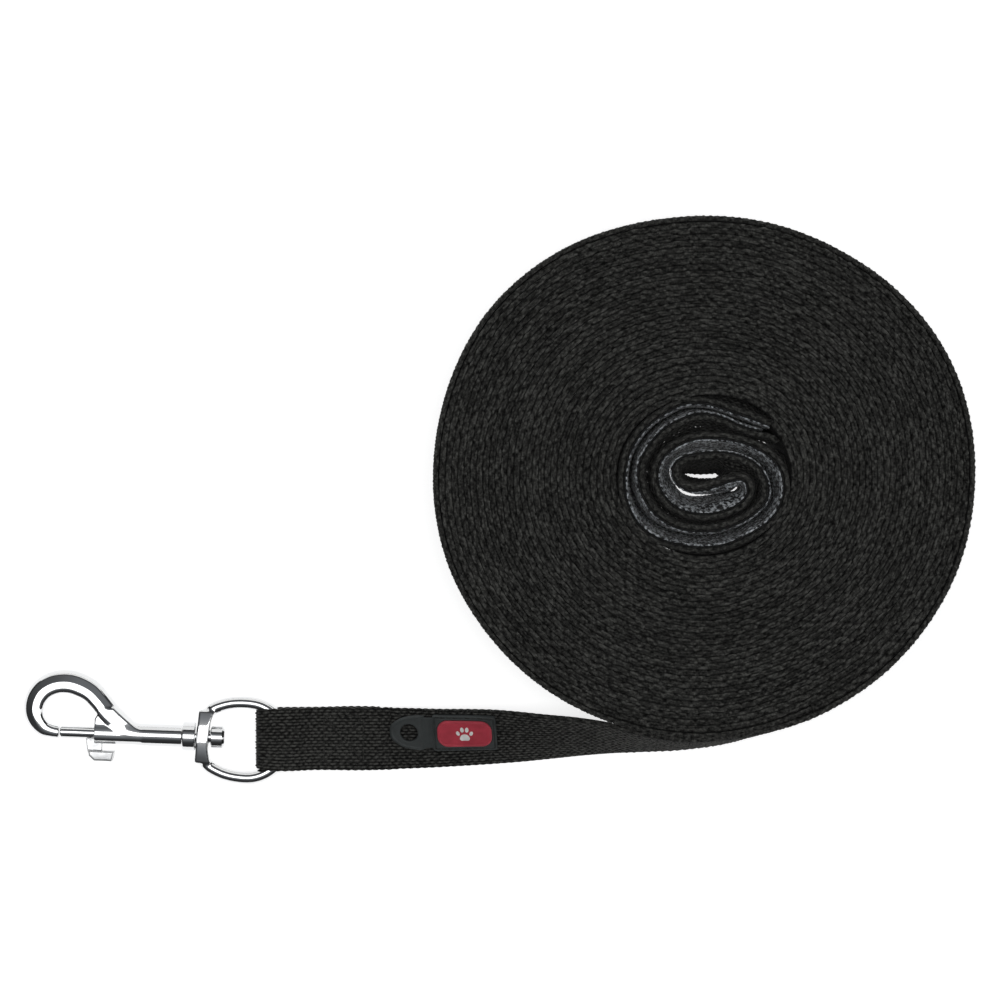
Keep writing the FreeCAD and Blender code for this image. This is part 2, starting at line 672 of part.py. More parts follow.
# ------------------------------------------------------- sewing on loop ----
loop_seam = new_body("LoopSeam")
sk = new_sketch(loop_seam, "LoopSeamOutline")
p = spine.value(spine.FirstParameter)
g = spine.tangent(spine.FirstParameter)[0]
rectangle(sk, 0.0, 0.0, 5.0, 1.1)
pad(loop_seam, sk, "Sizes.strap_width * 0.6", name="LoopSeamPad")
place(loop_seam, p.x + 0.4, p.y - 2.2, size("strap_width") * 0.2, -38.0)
node(loop_seam, "hand_loop_joint_stitching")

# Two seams hold the lining along the strap's edges.  They stop at each side of
# the place where two passes of the strap press together, with no room between.
half_t = -half - 0.03 - T - 0.05
seams = []
for s0, s1, n in ((0.03, 0.368, 62), (0.398, 0.97, 106)):
    seam_edges, seam_ends = ribbon(spine, half_t, half_t - 0.22, n, s0, s1)
    seam_face = Part.Face(
        Part.Wire(
            Part.__sortEdges__([c.toShape() for c in seam_edges + seam_ends])
        )
    )
    for z in (2.6, size("strap_width") - 3.2):
        f = seam_face.copy()
        f.translate(V(0, 0, z))
        seams.append(f.extrude(V(0, 0, 0.6)))
lining_sewing = doc.addObject("Part::Feature", "LiningSewing")
lining_sewing.Shape = Part.makeCompound(seams)
place(lining_sewing, 0, 0, 0)
node(lining_sewing, "lining_stitching")

# ------------------------------------------------ sewing on the snap end ----
sew = new_body("SnapEndSewing")
sk = new_sketch(sew, "SewingOutline")
lx, ly, t = 14.6, 14.4, 0.7
rectangle(sk, 0, 0, lx, ly)
k = t / 2
hx, hy = lx / 2, ly / 2
s = t * 1.0
polygon(sk, [(t + s, t), (lx - t - s, t), (hx, hy - s)])
polygon(sk, [(t + s, ly - t), (hx, hy + s), (lx - t - s, ly - t)])
polygon(sk, [(t, t + s), (hx - s, hy), (t, ly - t - s)])
polygon(sk, [(lx - t, t + s), (lx - t, ly - t - s), (hx + s, hy)])
pad(sew, sk, "Sizes.thread", name="Sewing")
place(sew, -54.9, size("fold_y") - ly / 2, 2.02 + T)
node(sew, "snap_end_stitching")

# ---------------------------------------------------------------- label ----
# The label lies on the leaning strap.  Its frame: x along the strap, y across
# it, z off its face; origin at the badge's tab-side lower corner.
def label_place(obj, along, across, off):
    rot = Rot(V(0, 0, 1), size("label_yaw")).multiply(Rot(V(1, 0, 0), tilt))
    p = V(-33.0, -86.5, 0.0) + rot.multVec(V(along, across, T + off))
    obj.Placement = Pla(p + V(SX, SY, 0), rot)


badge = new_body("LabelBadge")
sk = new_sketch(badge, "BadgeOutline")
BL, BW = size("badge_long"), size("badge_wide")
rectangle(
    sk, 0, 0, BL, BW,
    {(0, "x"): "0", (0, "y"): "0", (2, "x"): "Sizes.badge_long", (2, "y"): "Sizes.badge_wide"},
)
tip = pad(badge, sk, "Sizes.badge_thick", name="Badge")
tip = rounded(
    badge, tip,
    lambda e: e.BoundBox.ZLength > size("badge_thick") * 0.9,
    0.8, name="BadgeCorners",
)
sk = new_sketch(badge, "LipOutline")
rectangle(sk, -0.85, 1.4, 0.6, BW - 1.4)
pad(badge, sk, "0.4", name="Lip")
sk = new_sketch(badge, "GrooveOutline", offset=Pla(V(0, 0, size("badge_thick")), Rot()))
rectangle(sk, 0.8, 0.6, BL - 0.8, BW - 0.6)
rectangle(sk, 1.5, 1.3, BL - 1.5, BW - 1.3)
pocket(badge, sk, "0.6", mid=False, name="SewingGroove")
label_place(badge, 11.6, 6.2, 0.05)
node(badge, "label_badge")

stitches = new_body("LabelSewing")
sk = new_sketch(stitches, "LabelSewingOutline")
rectangle(sk, 0.95, 0.75, BL - 0.95, BW - 0.75)
rectangle(sk, 1.35, 1.15, BL - 1.35, BW - 1.15)
pad(stitches, sk, "Sizes.thread", name="LabelSewingPad")
label_place(stitches, 11.6, 6.2, 0.05 + size("badge_thick") - 0.6)
node(stitches, "label_stitching")

emblem = new_body("LabelEmblem")
sk = new_sketch(emblem, "EmblemOutline")
rectangle(sk, 2.4, 2.1, BL - 2.4, BW - 2.1)
tip = pad(emblem, sk, "Sizes.emblem_thick", name="Emblem")
rounded(
    emblem, tip,
    lambda e: e.BoundBox.ZLength > size("emblem_thick") * 0.9,
    2.2, name="EmblemCorners",
)
label_place(emblem, 11.6, 6.2, 0.05 + size("badge_thick"))
node(emblem, "label_emblem")

# Tab: a rounded triangle with a round hole, joined to the badge by a thin
# strip that bends.  Origin on the bending line.
tab = new_body("LabelTab")
sk = new_sketch(tab, "TabOutline")
TL = size("tab_long")
sk.addGeometry(Part.LineSegment(V(-1.55, -0.7, 0), V(-1.55, BW - 0.3, 0)), False)
sk.addGeometry(Part.LineSegment(V(-1.55, BW - 0.3, 0), V(-2.3, BW + 0.2, 0)), False)
sk.addGeometry(Part.Arc(V(-2.3, BW + 0.2, 0), V(-8.6, 9.5, 0), V(-TL + 1.2, 4.9, 0)), False)
sk.addGeometry(Part.Arc(V(-TL + 1.2, 4.9, 0), V(-8.9, 0.7, 0), V(-2.3, -1.0, 0)), False)
sk.addGeometry(Part.LineSegment(V(-2.3, -1.0, 0), V(-1.55, -0.7, 0)), False)
circle(sk, -6.6, BW / 2 - 0.55, size("tab_hole"), "Sizes.tab_hole")
pad(tab, sk, "Sizes.tab_thick", name="Tab")
sk = new_sketch(tab, "StripOutline")
rectangle(sk, -1.9, 0.8, -0.45, BW - 0.8)
pad(tab, sk, "Sizes.tab_thick * 0.5", name="Strip")
label_place(tab, 10.6, 6.2, 0.35)
node(tab, "label_tab")

# --------------------------------------------------------------- checks ----
doc.recompute()
for obj in doc.Objects:
    bad = [s for s in obj.State if s in ("Invalid", "Error")]
    if bad:
        raise RuntimeError("%s is %s" % (obj.Name, bad))
lo = [1e9] * 3
hi = [-1e9] * 3
for obj in NODES:
    s = obj.Shape
    if s.isNull() or not s.isValid() or not s.Solids:
        raise RuntimeError("%s has no valid solid" % obj.Label)
    bb = s.BoundBox
    for k, (a, b) in enumerate(((bb.XMin, bb.XMax), (bb.YMin, bb.YMax), (bb.ZMin, bb.ZMax))):
        lo[k], hi[k] = min(lo[k], a), max(hi[k], b)
    print(
        "%-28s solids %d  volume %10.1f  x %7.2f..%7.2f  y %7.2f..%7.2f  z %6.2f..%6.2f"
        % (obj.Label, len(s.Solids), s.Volume, bb.XMin, bb.XMax, bb.YMin, bb.YMax, bb.ZMin, bb.ZMax)
    )
print("box", [round(v, 2) for v in lo], [round(v, 2) for v in hi])
print("box centre", round((lo[0] + hi[0]) / 2, 3), round((lo[1] + hi[1]) / 2, 3))

os.makedirs("parts", exist_ok=True)
for obj in NODES:
    obj.Shape.exportStep("parts/%s.step" % obj.Label)
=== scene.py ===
import math

import bmesh
import bpy
import numpy as np
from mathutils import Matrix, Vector


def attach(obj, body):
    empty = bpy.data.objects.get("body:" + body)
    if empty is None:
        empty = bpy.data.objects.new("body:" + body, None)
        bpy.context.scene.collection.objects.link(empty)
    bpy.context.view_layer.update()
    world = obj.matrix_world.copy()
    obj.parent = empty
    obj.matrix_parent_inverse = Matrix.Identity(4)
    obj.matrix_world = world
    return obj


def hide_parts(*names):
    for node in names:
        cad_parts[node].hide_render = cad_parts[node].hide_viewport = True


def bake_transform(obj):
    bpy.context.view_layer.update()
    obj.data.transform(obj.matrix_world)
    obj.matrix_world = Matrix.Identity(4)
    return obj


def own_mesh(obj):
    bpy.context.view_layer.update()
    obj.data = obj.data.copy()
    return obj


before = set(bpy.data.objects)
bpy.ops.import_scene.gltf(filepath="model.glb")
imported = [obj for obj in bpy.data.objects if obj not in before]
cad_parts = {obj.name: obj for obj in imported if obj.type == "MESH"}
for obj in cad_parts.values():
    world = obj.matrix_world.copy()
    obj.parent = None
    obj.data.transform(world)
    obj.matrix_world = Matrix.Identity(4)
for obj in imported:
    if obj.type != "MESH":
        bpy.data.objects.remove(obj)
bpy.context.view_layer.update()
rng = np.random.default_rng(11)

MM = 0.001
SX, SY = 1.33, 0.72  # the plan's own coordinates to the frame's, in mm

# ------------------------------------------------------------ the camera ----
scene = bpy.context.scene
scene.view_settings.view_transform = "Standard"
cam_data = bpy.data.cameras.new("camera")
cam_data.lens = 111.6
cam_data.sensor_width = 36.0
cam_data.clip_start = 0.01
cam_data.clip_end = 50.0
camera = bpy.data.objects.new("camera", cam_data)
scene.collection.objects.link(camera)
camera.location = (SX * MM, SY * MM, 1.0)
scene.camera = camera


# ------------------------------------------------------------- materials ----
class Mat:
    """Small helper to build a node material."""

    def __init__(self, name):
        self.mat = bpy.data.materials.new(name)
        self.mat.use_nodes = True
        self.nt = self.mat.node_tree
        self.bsdf = self.nt.nodes["Principled BSDF"]

    def node(self, kind, **props):
        n = self.nt.nodes.new(kind)
        for k, v in props.items():
            setattr(n, k, v)
        return n

    def link(self, a, b):
        self.nt.links.new(a, b)

    def set(self, **values):
        for k, v in values.items():
            self.bsdf.inputs[k.replace("_", " ")].default_value = v

    def lay(self, scale):
        """The strap's own coordinates (along, across, through), scaled."""
        at = self.node("ShaderNodeAttribute", attribute_name="lay")
        at.attribute_type = "GEOMETRY"
        mp = self.node("ShaderNodeMapping")
        mp.inputs["Scale"].default_value = scale
        self.link(at.outputs["Vector"], mp.inputs["Vector"])
        return mp.outputs["Vector"]

    def space(self, scale=(1, 1, 1)):
        tc = self.node("ShaderNodeTexCoord")
        mp = self.node("ShaderNodeMapping")
        mp.inputs["Scale"].default_value = scale
        self.link(tc.outputs["Object"], mp.inputs["Vector"])
        return mp.outputs["Vector"]

    def noise(self, vec, scale, detail=2.0, rough=0.5):
        n = self.node("ShaderNodeTexNoise")
        n.inputs["Scale"].default_value = scale
        n.inputs["Detail"].default_value = detail
        n.inputs["Roughness"].default_value = rough
        self.link(vec, n.inputs["Vector"])
        return n.outputs["Fac"]

    def ramp(self, fac, stops, interpolation="LINEAR"):
        r = self.node("ShaderNodeValToRGB")
        r.color_ramp.interpolation = interpolation
        el = r.color_ramp.elements
        while len(el) > 1:
            el.remove(el[-1])
        el[0].position = stops[0][0]
        el[0].color = stops[0][1]
        for pos, col in stops[1:]:
            e = el.new(pos)
            e.color = col
        self.link(fac, r.inputs["Fac"])
        return r.outputs["Color"]

    def mix(self, fac, a, b, blend="MIX"):
        m = self.node("ShaderNodeMix", data_type="RGBA", blend_type=blend)
        if isinstance(fac, (int, float)):
            m.inputs[0].default_value = fac
        else:
            self.link(fac, m.inputs[0])
        for sock, v in ((m.inputs[6], a), (m.inputs[7], b)):
            if isinstance(v, tuple):
                sock.default_value = v
            else:
                self.link(v, sock)
        return m.outputs[2]

    def math(self, op, a, b=None, c=None):
        m = self.node("ShaderNodeMath", operation=op)
        for i, v in enumerate((a, b, c)):
            if v is None:
                continue
            if isinstance(v, (int, float)):
                m.inputs[i].default_value = v
            else:
                self.link(v, m.inputs[i])
        return m.outputs[0]

    def bump(self, height, strength, distance, after=None):
        b = self.node("ShaderNodeBump")
        b.inputs["Strength"].default_value = strength
        b.inputs["Distance"].default_value = distance
        self.link(height, b.inputs["Height"])
        if after is not None:
            self.link(after, b.inputs["Normal"])
        return b.outputs["Normal"]

    def colour(self, out):
        self.link(out, self.bsdf.inputs["Base Color"])

    def rough(self, out):
        self.link(out, self.bsdf.inputs["Roughness"])

    def normal(self, out):
        self.link(out, self.bsdf.inputs["Normal"])


def grey(v, tint=(1.0, 1.0, 1.0)):
    return (v * tint[0], v * tint[1], v * tint[2], 1.0)


def webbing_material(name, low, mid, high, tint=(1.0, 1.0, 0.93)):
    """Yarn, with painted light and shade: the raised part of each float is painted lighter and the hollows darker,
    from the relief attribute, with random yarn tone and lint specks on top.
    """
    m = Mat(name)
    fib = m.noise(m.lay((700.0, 5200.0, 5200.0)), 1.0, 3.0, 0.6)
    yarn = m.noise(m.lay((620.0, 1300.0, 1300.0)), 1.0, 2.0, 0.55)
    patch = m.noise(m.lay((22.0, 60.0, 60.0)), 1.0, 2.0, 0.5)
    specks = m.noise(m.space(), 2100.0, 1.0, 0.5)
    painted_relief_light = m.node("ShaderNodeAttribute", attribute_name="painted_relief_light")
    painted_relief_light.attribute_type = "GEOMETRY"
    fleck = m.noise(m.space(), 1500.0, 2.0, 0.6)
    v = m.math("ADD", painted_relief_light.outputs["Fac"], m.math("MULTIPLY_ADD", yarn, 1.3, -0.65))
    v = m.math("ADD", v, m.math("MULTIPLY_ADD", fleck, 1.5, -0.75))
    v = m.math("ADD", v, m.math("MULTIPLY_ADD", patch, 0.4, -0.20))
    # painted light and shade: the ramp's low end is painted shade in the hollows, its high end painted light on
    # raised yarn
    tone = m.ramp(v, [(0.04, grey(low, tint)), (0.50, grey(mid, tint)), (1.0, grey(high, tint))])
    tone = m.mix(m.ramp(specks, [(0.73, grey(0.0)), (0.82, grey(0.5))]), tone, grey(high * 2.0))
    m.colour(tone)
    m.rough(m.ramp(fib, [(0.2, grey(0.62)), (0.8, grey(0.9))]))
    m.set(Specular_IOR_Level=0.12, Sheen_Weight=0.03, Sheen_Roughness=0.5)
    n1 = m.bump(yarn, 0.6, 0.00025)
    m.normal(m.bump(fib, 0.6, 0.00014, n1))
    return m.mat


def chrome_material(name, base=0.80, rough=0.06):
    m = Mat(name)
    wear = m.noise(m.space(), 420.0, 4.0, 0.6)
    fine = m.noise(m.space((1.0, 1.0, 1.0)), 2600.0, 2.0, 0.5)
    m.colour(m.ramp(wear, [(0.25, grey(base * 0.96, (0.985, 0.995, 1.0))), (0.75, grey(base, (0.99, 0.995, 1.0)))]))
    m.rough(m.ramp(wear, [(0.3, grey(rough * 0.7)), (0.7, grey(rough * 1.6))]))
    m.set(Metallic=1.0)
    m.normal(m.bump(m.mix(0.4, wear, fine), 0.035, 0.0002))
    return m.mat


MAT_WEB = webbing_material("webbing_face", 0.0025, 0.030, 0.086)
MAT_COIL = webbing_material("webbing_edge", 0.003, 0.035, 0.096)
MAT_CHROME = chrome_material("nickel_chrome")


# --------------------------------------------------------------- helpers ----
def new_object(name, mesh, mats, smooth=True):
    for mt in mats if isinstance(mats, (list, tuple)) else [mats]:
        mesh.materials.append(mt)
    if smooth:
        mesh.polygons.foreach_set("use_smooth", np.ones(len(mesh.polygons), bool))
    o = bpy.data.objects.new(name, mesh)
    scene.collection.objects.link(o)
    return o


def raw_mesh(name, verts, faces4, caps=()):
    """A mesh from numpy vertices (metres), quads (m, 4) and a list of n-gons."""
    me = bpy.data.meshes.new(name)
    verts = np.asarray(verts, np.float32).reshape(-1, 3)
    faces4 = np.asarray(faces4, np.int32).reshape(-1, 4)
    total = faces4.size + sum(len(c) for c in caps)
    me.vertices.add(len(verts))
    me.vertices.foreach_set("co", verts.ravel())
    me.loops.add(total)
    me.polygons.add(len(faces4) + len(caps))
    idx = np.concatenate([faces4.ravel()] + [np.asarray(c, np.int32) for c in caps])
    me.loops.foreach_set("vertex_index", idx.astype(np.int32))
    starts = list(range(0, faces4.size, 4))
    at = faces4.size
    for c in caps:
        starts.append(at)
        at += len(c)
    me.polygons.foreach_set("loop_start", np.asarray(starts, np.int32))
    me.update(calc_edges=True)
    me.validate()
    return me


def tube(name, V, lay=None, closed=False, caps=True, painted_relief_light=None):
    """A lofted tube: V is (stations, profile points, 3) in mm, in the frame."""
    n, k, _ = V.shape
    i = np.arange(n if closed else n - 1)[:, None]
    j = np.arange(k)[None, :]
    a = i * k + j
    b = i * k + (j + 1) % k
    c = ((i + 1) % n) * k + (j + 1) % k
    d = ((i + 1) % n) * k + j
    quads = np.stack([a, b, c, d], -1).reshape(-1, 4)
    ends = []
    if caps and not closed:
        ends = [list(range(k - 1, -1, -1)), [(n - 1) * k + q for q in range(k)]]
    me = raw_mesh(name, V.reshape(-1, 3) * MM, quads, ends)
    if lay is not None:
        at = me.attributes.new("lay", "FLOAT_VECTOR", "POINT")
        at.data.foreach_set("vector", (lay.reshape(-1, 3) * MM).astype(np.float32).ravel())
    # point attribute of painted light and shade by relief, read by the materials
    if painted_relief_light is not None:
        at = me.attributes.new("painted_relief_light", "FLOAT", "POINT")
        at.data.foreach_set("value", np.clip(painted_relief_light, 0, 1).astype(np.float32).ravel())
    # outward normals: the tube's signed volume is positive
    v = V.reshape(-1, 3)
    q = quads
    vol = np.einsum("ij,ij->i", v[q[:, 0]], np.cross(v[q[:, 1]], v[q[:, 2]])).sum()
    vol += np.einsum("ij,ij->i", v[q[:, 0]], np.cross(v[q[:, 2]], v[q[:, 3]])).sum()
    if vol < 0:
        me.flip_normals()
    return me


def smooth_line(pts, per=24):
    """Centripetal Catmull-Rom through the points, sampled densely."""
    p = np.asarray(pts, float)
    p = np.vstack([2 * p[0] - p[1], p, 2 * p[-1] - p[-2]])
    out = []
    for i in range(1, len(p) - 2):
        p0, p1, p2, p3 = p[i - 1], p[i], p[i + 1], p[i + 2]
        t0 = 0.0
        t1 = t0 + max(np.linalg.norm(p1 - p0), 1e-9) ** 0.5
        t2 = t1 + max(np.linalg.norm(p2 - p1), 1e-9) ** 0.5
        t3 = t2 + max(np.linalg.norm(p3 - p2), 1e-9) ** 0.5
        t = np.linspace(t1, t2, per, endpoint=False)[:, None]
        a1 = (t1 - t) / (t1 - t0) * p0 + (t - t0) / (t1 - t0) * p1
        a2 = (t2 - t) / (t2 - t1) * p1 + (t - t1) / (t2 - t1) * p2
        a3 = (t3 - t) / (t3 - t2) * p2 + (t - t2) / (t3 - t2) * p3
        b1 = (t2 - t) / (t2 - t0) * a1 + (t - t0) / (t2 - t0) * a2
        b2 = (t3 - t) / (t3 - t1) * a2 + (t - t1) / (t3 - t1) * a3
        out.append((t2 - t) / (t2 - t1) * b1 + (t - t1) / (t2 - t1) * b2)
    out.append(p[-2][None, :])
    return np.vstack(out)


def arc_len(p):
    d = np.linalg.norm(np.diff(p, axis=0), axis=1)
    return np.concatenate([[0.0], np.cumsum(d)])


def resample(p, ds, cols=None):
    """Points at even spacing along a line; cols are carried along with it."""
    s = arc_len(p)
    n = max(2, int(round(s[-1] / ds)) + 1)
    t = np.linspace(0, s[-1], n)
    q = np.stack([np.interp(t, s, p[:, k]) for k in range(p.shape[1])], 1)
    if cols is None:
        return q, t
    return q, t, [np.interp(t, s, c) for c in cols]


def unit(v):
    return v / np.maximum(np.linalg.norm(v, axis=-1, keepdims=True), 1e-12)


def blur(x, n):
    """Moving average of width 2n+1 with held ends."""
    k = np.ones(2 * n + 1) / (2 * n + 1)
    pad = np.concatenate([np.full(n, x[0]), x, np.full(n, x[-1])])
    return np.convolve(pad, k, "valid")


def wander(s, scales, seed):
    """Smooth seeded wobble along a length (mm), about -1 to 1."""
    r = np.random.default_rng(seed)
    out = np.zeros_like(s)
    for w in scales:
        out += np.sin(2 * np.pi * s / (w * (0.85 + 0.3 * r.random())) + 6.28 * r.random())
    return out / len(scales)


# ------------------------------------------------------------ the weave ----
WIDE = 20.0    # strap width
HALF_T = 0.93  # half thickness of the strap's body
PICK = 1.15    # pick spacing along the strap
ENDS = 19      # warp yarns on a face
PITCH_W = WIDE / ENDS


def face_profile(per=3, fine_top=True, fine_low=True):
    """Closed profile: a over the width (-10..10), b through the thickness.
    side: 1 upper face, -1 lower face, 2 and -2 the two selvedges."""
    a, b, side = [], [], []
    k = ENDS * per
    fine = [-WIDE / 2 + 0.45 + (WIDE - 0.9) * i / k for i in range(k + 1)]
    coarse = [-WIDE / 2 + 0.45, -5.0, 0.0, 5.0, WIDE / 2 - 0.45]
    for x in fine if fine_top else coarse:
        a.append(x); b.append(HALF_T); side.append(1)
    for ang in (55, 20, -20, -55):
        t = math.radians(ang)
        a.append(WIDE / 2 - 0.45 + 0.5 * math.cos(t)); b.append(HALF_T * math.sin(t) * 0.95); side.append(2)
    for x in (fine if fine_low else coarse)[::-1]:
        a.append(x); b.append(-HALF_T); side.append(-1)
    for ang in (-55, -20, 20, 55):
        t = math.radians(ang)
        a.append(-WIDE / 2 + 0.45 - 0.5 * math.cos(t)); b.append(HALF_T * math.sin(t) * 0.95); side.append(-2)
    return np.array(a), np.array(b), np.array(side)


FLOATS = 0.72 + 0.5 * np.random.default_rng(31).random((23, 997))


def weave(s, a, b, side, amp=0.40):
    """Relief of the woven strap: offsets across the width and through it, and painted light and shade from that
    relief.
    """
    S = s[:, None]
    A = a[None, :] + WIDE / 2
    yarn = np.clip(np.floor((A - 0.45) / ((WIDE - 0.9) / ENDS)), 0, ENDS - 1)
    u = (A - 0.45) / ((WIDE - 0.9) / ENDS) - yarn - 0.5
    across = np.cos(np.pi * np.clip(u, -0.5, 0.5)) ** 0.75
    slip = 0.12 * np.sin(yarn * 2.39 + S / 37.0) + 0.08 * np.sin(yarn * 5.1 + S / 11.0)
    ph = S / PICK + slip
    low = 0.5 + 0.5 * np.cos(np.pi * (ph + yarn))
    cell = np.floor(ph).astype(int)
    uneven = FLOATS[yarn.astype(int) % 23, cell % 997]
    top = low ** 0.7 * uneven
    bot = (1 - low) ** 0.7 * uneven
    db = np.zeros((len(s), len(a)))
    up = (side == 1)[None, :]
    dn = (side == -1)[None, :]
    db = np.where(up, amp * (across * top) - 0.6 * amp, db)
    db = np.where(dn, -(amp * (across * bot) - 0.6 * amp), db)
    # selvedges: the weft turns round once every two picks
    sel = 0.5 + 0.5 * np.cos(np.pi * ph)
    half_ = 0.5 + 0.5 * np.cos(np.pi * (ph / 2 + 0.5 * np.sin(S / 7.3)))
    da = np.zeros_like(db)
    da = np.where((side == 2)[None, :], 0.24 * sel ** 0.7 - 0.12, da)
    da = np.where((side == -2)[None, :], -(0.24 * (1 - sel) ** 0.7 - 0.12), da)
    edge_up = (side == 2)[None, :]
    db = np.where(edge_up, db + 0.10 * np.sign(b)[None, :] * (np.where(b[None, :] > 0, sel, 1 - sel) - 0.4), db)
    db = np.where((side == -2)[None, :], db + 0.10 * np.sign(b)[None, :] * (np.where(b[None, :] > 0, sel, 1 - sel) - 0.4), db)
    # painted light and shade: raised floats and selvedge turns get a lighter tone, the grooves between yarns a darker
    # one
    fill = across ** 0.6
    painted_relief_light = np.where(up, fill * (0.34 + 0.62 * top), np.where(dn, fill * (0.34 + 0.62 * bot), 0.0))
    two_ = np.where(b[None, :] > 0, half_, 1 - half_)
    painted_relief_light = np.where(edge_up, 0.22 + 0.34 * two_ + 0.2 * sel, np.where((side == -2)[None, :], 0.22 + 0.34 * (1 - two_) + 0.2 * (1 - sel), painted_relief_light))
    return da, db, painted_relief_light


def strap_piece(name, P, Wd, Td, s, profile, mat, width=None, amp=0.40, swell=None):
    """P: middle of the strap (n,3) mm in the plan's coordinates."""
    a, b, side = profile
    da, db, painted_relief_light = weave(s, a, b, side, amp)
    w = np.ones(len(s)) if width is None else width
    A = (a[None, :] + da) * w[:, None]
    B = b[None, :] + db
    if swell is not None:
        # below its top edge the strap bows out to what it presses against
        low = np.clip((9.3 - a) / 4.0, 0, 1)
        B = B - swell[:, None] * (low * low * (3 - 2 * low) * (b < 0))[None, :]
    V = P[:, None, :] + Wd[:, None, :] * A[..., None] + Td[:, None, :] * B[..., None]
    V = V + np.array([SX, SY, 0.0])
    V[..., 2] = np.maximum(V[..., 2], 0.01)
    lay = np.stack([np.broadcast_to(s[:, None], A.shape), np.broadcast_to(a[None, :], A.shape), np.broadcast_to(b[None, :], A.shape)], -1)
    return new_object(name, tube(name, V, lay, painted_relief_light=painted_relief_light), mat)


# -------------------------------------------------------------- the coil ----
CX, CY = 64.5, 4.1
S_TOT = 29.297
A_START = 317.0
OUT_PX = [
    (0, 271.2), (10, 269.5), (20, 267.5), (30, 263.8), (40, 261.5), (50, 259.2),
    (60, 256.4), (64, 256.0), (64.01, 249.9), (70, 249.9), (80, 250.9), (86, 251.8), (100, 252.7),
    (114, 253.7), (127, 257.0), (140, 260.5), (150, 263.0), (160, 267.5), (170, 269.5),
    (180, 271.2), (190, 272.5), (200, 275.0), (210, 277.5), (220, 280.0), (230, 278.5),
    (240, 277.5), (250, 274.0), (260, 271.5), (270, 271.5), (280, 272.5), (290, 273.2),
    (300, 273.0), (310, 276.0), (320, 277.2), (330, 278.8), (340, 277.0), (350, 274.5),
]


def virtual_outline():
    """Radius that the last turn would have at the strap's own end, by angle."""
    ang = np.array([q[0] for q in OUT_PX], float)
    rad = np.array([q[1] / 3.163 - 0.98 for q in OUT_PX])
    behind = np.where(ang <= 64, (64 - ang) / 360.0, (64 + 360 - ang) / 360.0)
    rad = rad + 1.95 * behind
    keep = ang != 64.01
    ang, rad = ang[keep], rad[keep]
    a = np.concatenate([ang - 360, ang, ang + 360])
    r = np.concatenate([rad, rad, rad])
    grid = np.arange(0, 360, 1.0)
    v = np.interp(grid, a, r)
    for _ in range(3):  # round the table's corners
        v = (np.roll(v, 3) + np.roll(v, -3) + 2 * v + np.roll(v, 6) * 0.5 + np.roll(v, -6) * 0.5) / 5.0
    return grid, v


GRID, ROUT = virtual_outline()


def r_out(a):
    return np.interp(np.mod(a, 360.0), np.append(GRID, 360.0), np.append(ROUT, ROUT[0]))


def r_core(a):
    """Centreline of the first turn: an ellipse about (64.5, 7.45)."""
    t = np.radians(-a)
    c, s = np.cos(t), np.sin(t)
    hx, hy, off = 28.75, 26.2, 3.35
    qa = (c / hx) ** 2 + (s / hy) ** 2
    qb = -2 * s * off / hy**2
    qc = off**2 / hy**2 - 1
    return (-qb + np.sqrt(qb**2 - 4 * qa * qc)) / (2 * qa)


def coil_radius(turn):
    a = A_START + 360.0 * turn
    am = np.mod(a, 360.0)
    core, out = r_core(am), r_out(am)
    # the first turns lie close round the loop and step over its sewn joint
    whole = np.floor(turn)
    step = np.clip((turn - whole - 0.78) / 0.22, 0, 1)
    step = whole + step * step * (3 - 2 * step)
    w = np.clip((turn - 0.9) / 7.0, 0, 1)
    w = w * w * (3 - 2 * w)
    r = core + (out - core) * (step * (1 - w) + turn * w) / S_TOT
    # the last turns stand a little apart at the lower right
    gap = 1.15 * np.exp(-(((am - 50.0) / 32.0) ** 2))
    lim = S_TOT - 2.6
    w = np.where(turn < lim, turn / lim, (S_TOT - turn) / 2.6)
    r = r - gap * w
    return r


def coil_line(t0, t1, ds):
    turns = np.linspace(t0, t1, int((t1 - t0) * 1440) + 2)
    a = np.radians(A_START + 360.0 * turns)
    r = coil_radius(turns)
    p = np.stack([CX + r * np.cos(-a), CY + r * np.sin(-a)], 1)
    s = arc_len(p)
    n = int(round(s[-1] / ds)) + 1
    t = np.linspace(0, s[-1], n)
    tt = np.interp(t, s, turns)
    a = np.radians(A_START + 360.0 * tt)
    r = coil_radius(tt)
    p = np.stack([CX + r * np.cos(-a), CY + r * np.sin(-a), np.zeros(n)], 1)
    return p, t, tt, s[-1]


